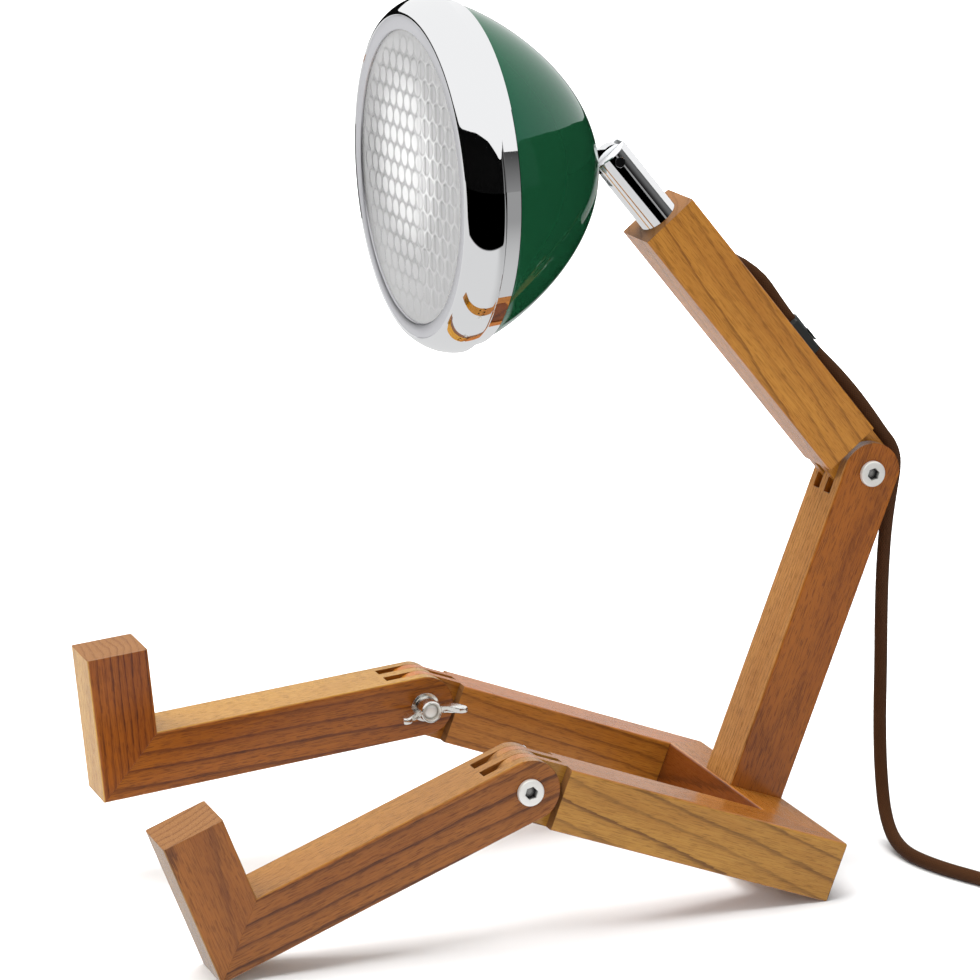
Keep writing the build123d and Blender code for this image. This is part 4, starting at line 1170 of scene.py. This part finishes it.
past_left = pale.math("SUBTRACT", -0.3, side)
past_rear = sloped(sloped(rear, side, 0.0, 0.56), past_left, 0.0, 0.62)
on_table = soft_step(past_rear, TABLE_REAR - 0.015, TABLE_REAR + 0.015, 1.0, 0.0)
table = pale.math("MULTIPLY", table, on_table)
edge = sloped(side, rear, -0.55, 0.20)
past_front = soft_step(edge, TABLE_FRONT - 0.008, TABLE_FRONT + 0.008, 0.0, 1.0)
slanted = pale.math("SUBTRACT", rear, pale.math("MULTIPLY", side, 0.50))
past_front = pale.math("MULTIPLY", past_front, soft_step(slanted, -0.045, -0.015, 1.0, 0.0))
table = pale.math("MULTIPLY", table, pale.math("SUBTRACT", 1.0, past_front))
glow = pale.add("ShaderNodeEmission", {"Strength": table})
both = pale.add("ShaderNodeMixShader", {0: mirrored, 1: pale.shader.outputs[0], 2: glow.outputs[0]})
pale.tree.links.new(both.outputs[0], pale.tree.nodes["Material Output"].inputs[0])
floor_mesh.materials.append(pale.material)

# black cloth round the table, seen only in the shiny pieces, by the azimuth and height angle of its top
CLOTH_R = 4.0
CLOTH_STEPS = 240
HEAD_HEIGHT = 0.29
CLOTH_TOP = (
    (-180, 13.7),
    (-170, 11.5),
    (-161, 9.5),
    (-151, 6.8),
    (-135, 1.3),
    (-124, -1.5),
    (-114, 0),
    (-106, 6),
    (-95, 12),
    (-60, 14),
    (-25, 15.5),
    (0, 17.5),
    (11, 20.4),
    (23, 23.9),
    (34, 26.5),
    (51, 29.3),
    (66, 29.0),
    (78, 27.5),
    (86, 24.4),
    (94, 20.5),
    (101, 16.5),
    (110, 17.5),
    (121, 19.5),
    (140, 19.5),
    (157, 18.2),
    (168, 15.8),
)
GREY_FROM = 110
DUSK_FROM = 121.5
DUSK_TO = 166


def cloth_top(azimuth):
    """Height angle between the listed places, as a closed smooth curve through them."""
    count = len(CLOTH_TOP)
    for k in range(count):
        here, top = CLOTH_TOP[k]
        after, next_top = CLOTH_TOP[(k + 1) % count]
        after += 360 if after < here else 0
        if here <= azimuth < after:
            before = CLOTH_TOP[k - 1][1]
            beyond = CLOTH_TOP[(k + 2) % count][1]
            t = (azimuth - here) / (after - here)
            smooth = (next_top - before) * t + (2 * before - 5 * top + 4 * next_top - beyond) * t**2
            return top + 0.5 * (smooth + (3 * top - before - 3 * next_top + beyond) * t**3)
    return CLOTH_TOP[0][1]


def cloth_mesh():
    """Round wall with a wavy top edge, closed by a floor."""
    bm = bmesh.new()
    rings = []
    for step in range(CLOTH_STEPS):
        azimuth = -180 + 360 * step / CLOTH_STEPS
        x, y = CLOTH_R * math.sin(math.radians(azimuth)), -CLOTH_R * math.cos(math.radians(azimuth))
        top = HEAD_HEIGHT + CLOTH_R * math.tan(math.radians(cloth_top(azimuth)))
        rings.append((bm.verts.new((x, y, -0.01)), bm.verts.new((x, y, top))))
    for step, (here, after) in enumerate(zip(rings, rings[1:] + rings[:1])):
        wall = bm.faces.new((here[0], after[0], after[1], here[1]))
        azimuth = -180 + 360 * step / CLOTH_STEPS
        if GREY_FROM <= azimuth < DUSK_FROM:
            wall.material_index = 1
        elif DUSK_FROM <= azimuth < DUSK_TO:
            wall.material_index = 2
    bm.faces.new([pair[0] for pair in rings])
    return from_bmesh("black_cloth", bm)


cloth = cloth_mesh()
# its light goes from the first to the second value over a span of one axis
for name, axis, start, end, first, second in (
    ("cloth_black", 2, 0.0, 1.7, 0.0, 0.0),
    ("wall_grey", 2, 0.0, 1.7, 0.255, 0.055),
    ("wall_dusk", 0, 3.2, 2.2, 0.012, 0.14),
):
    dim = Nodes(name)
    place = dim.add("ShaderNodeSeparateXYZ", {0: dim.place()}).outputs[axis]
    light = dim.add("ShaderNodeMapRange", {0: place, 1: start, 2: end, 3: first, 4: second}).outputs[0]
    dim.set(Base_Color=grey(0.004), Roughness=1.0, Specular_IOR_Level=0.0)
    dim.set(Emission_Color=(1.0, 1.0, 1.0), Emission_Strength=light)
    cloth.data.materials.append(dim.material)
cloth.visible_camera = False
cloth.visible_diffuse = False
cloth.visible_transmission = False
cloth.visible_shadow = False


def softbox(name, place, target, size, power):
    """Square area light that no shiny piece mirrors."""
    light = bpy.data.lights.new(name, "AREA")
    light.shape = "SQUARE"
    light.size = size
    light.energy = power
    obj = bpy.data.objects.new(name, light)
    bpy.context.collection.objects.link(obj)
    backward = Vector(place) - Vector(target)
    obj.matrix_world = frame_at(Vector(place), Vector((1, 0.001, 0)), backward)
    obj.visible_glossy = False


softbox("key_top", (-0.3, -0.30, 2.2), (0, 0, 0.1), 2.2, 105)
softbox("front_left", (-1.5, -1.7, 0.9), (0, 0, 0.15), 1.3, 34)
softbox("fill_side", (2.2, -0.2, 0.9), (0, 0, 0.15), 1.2, 10)
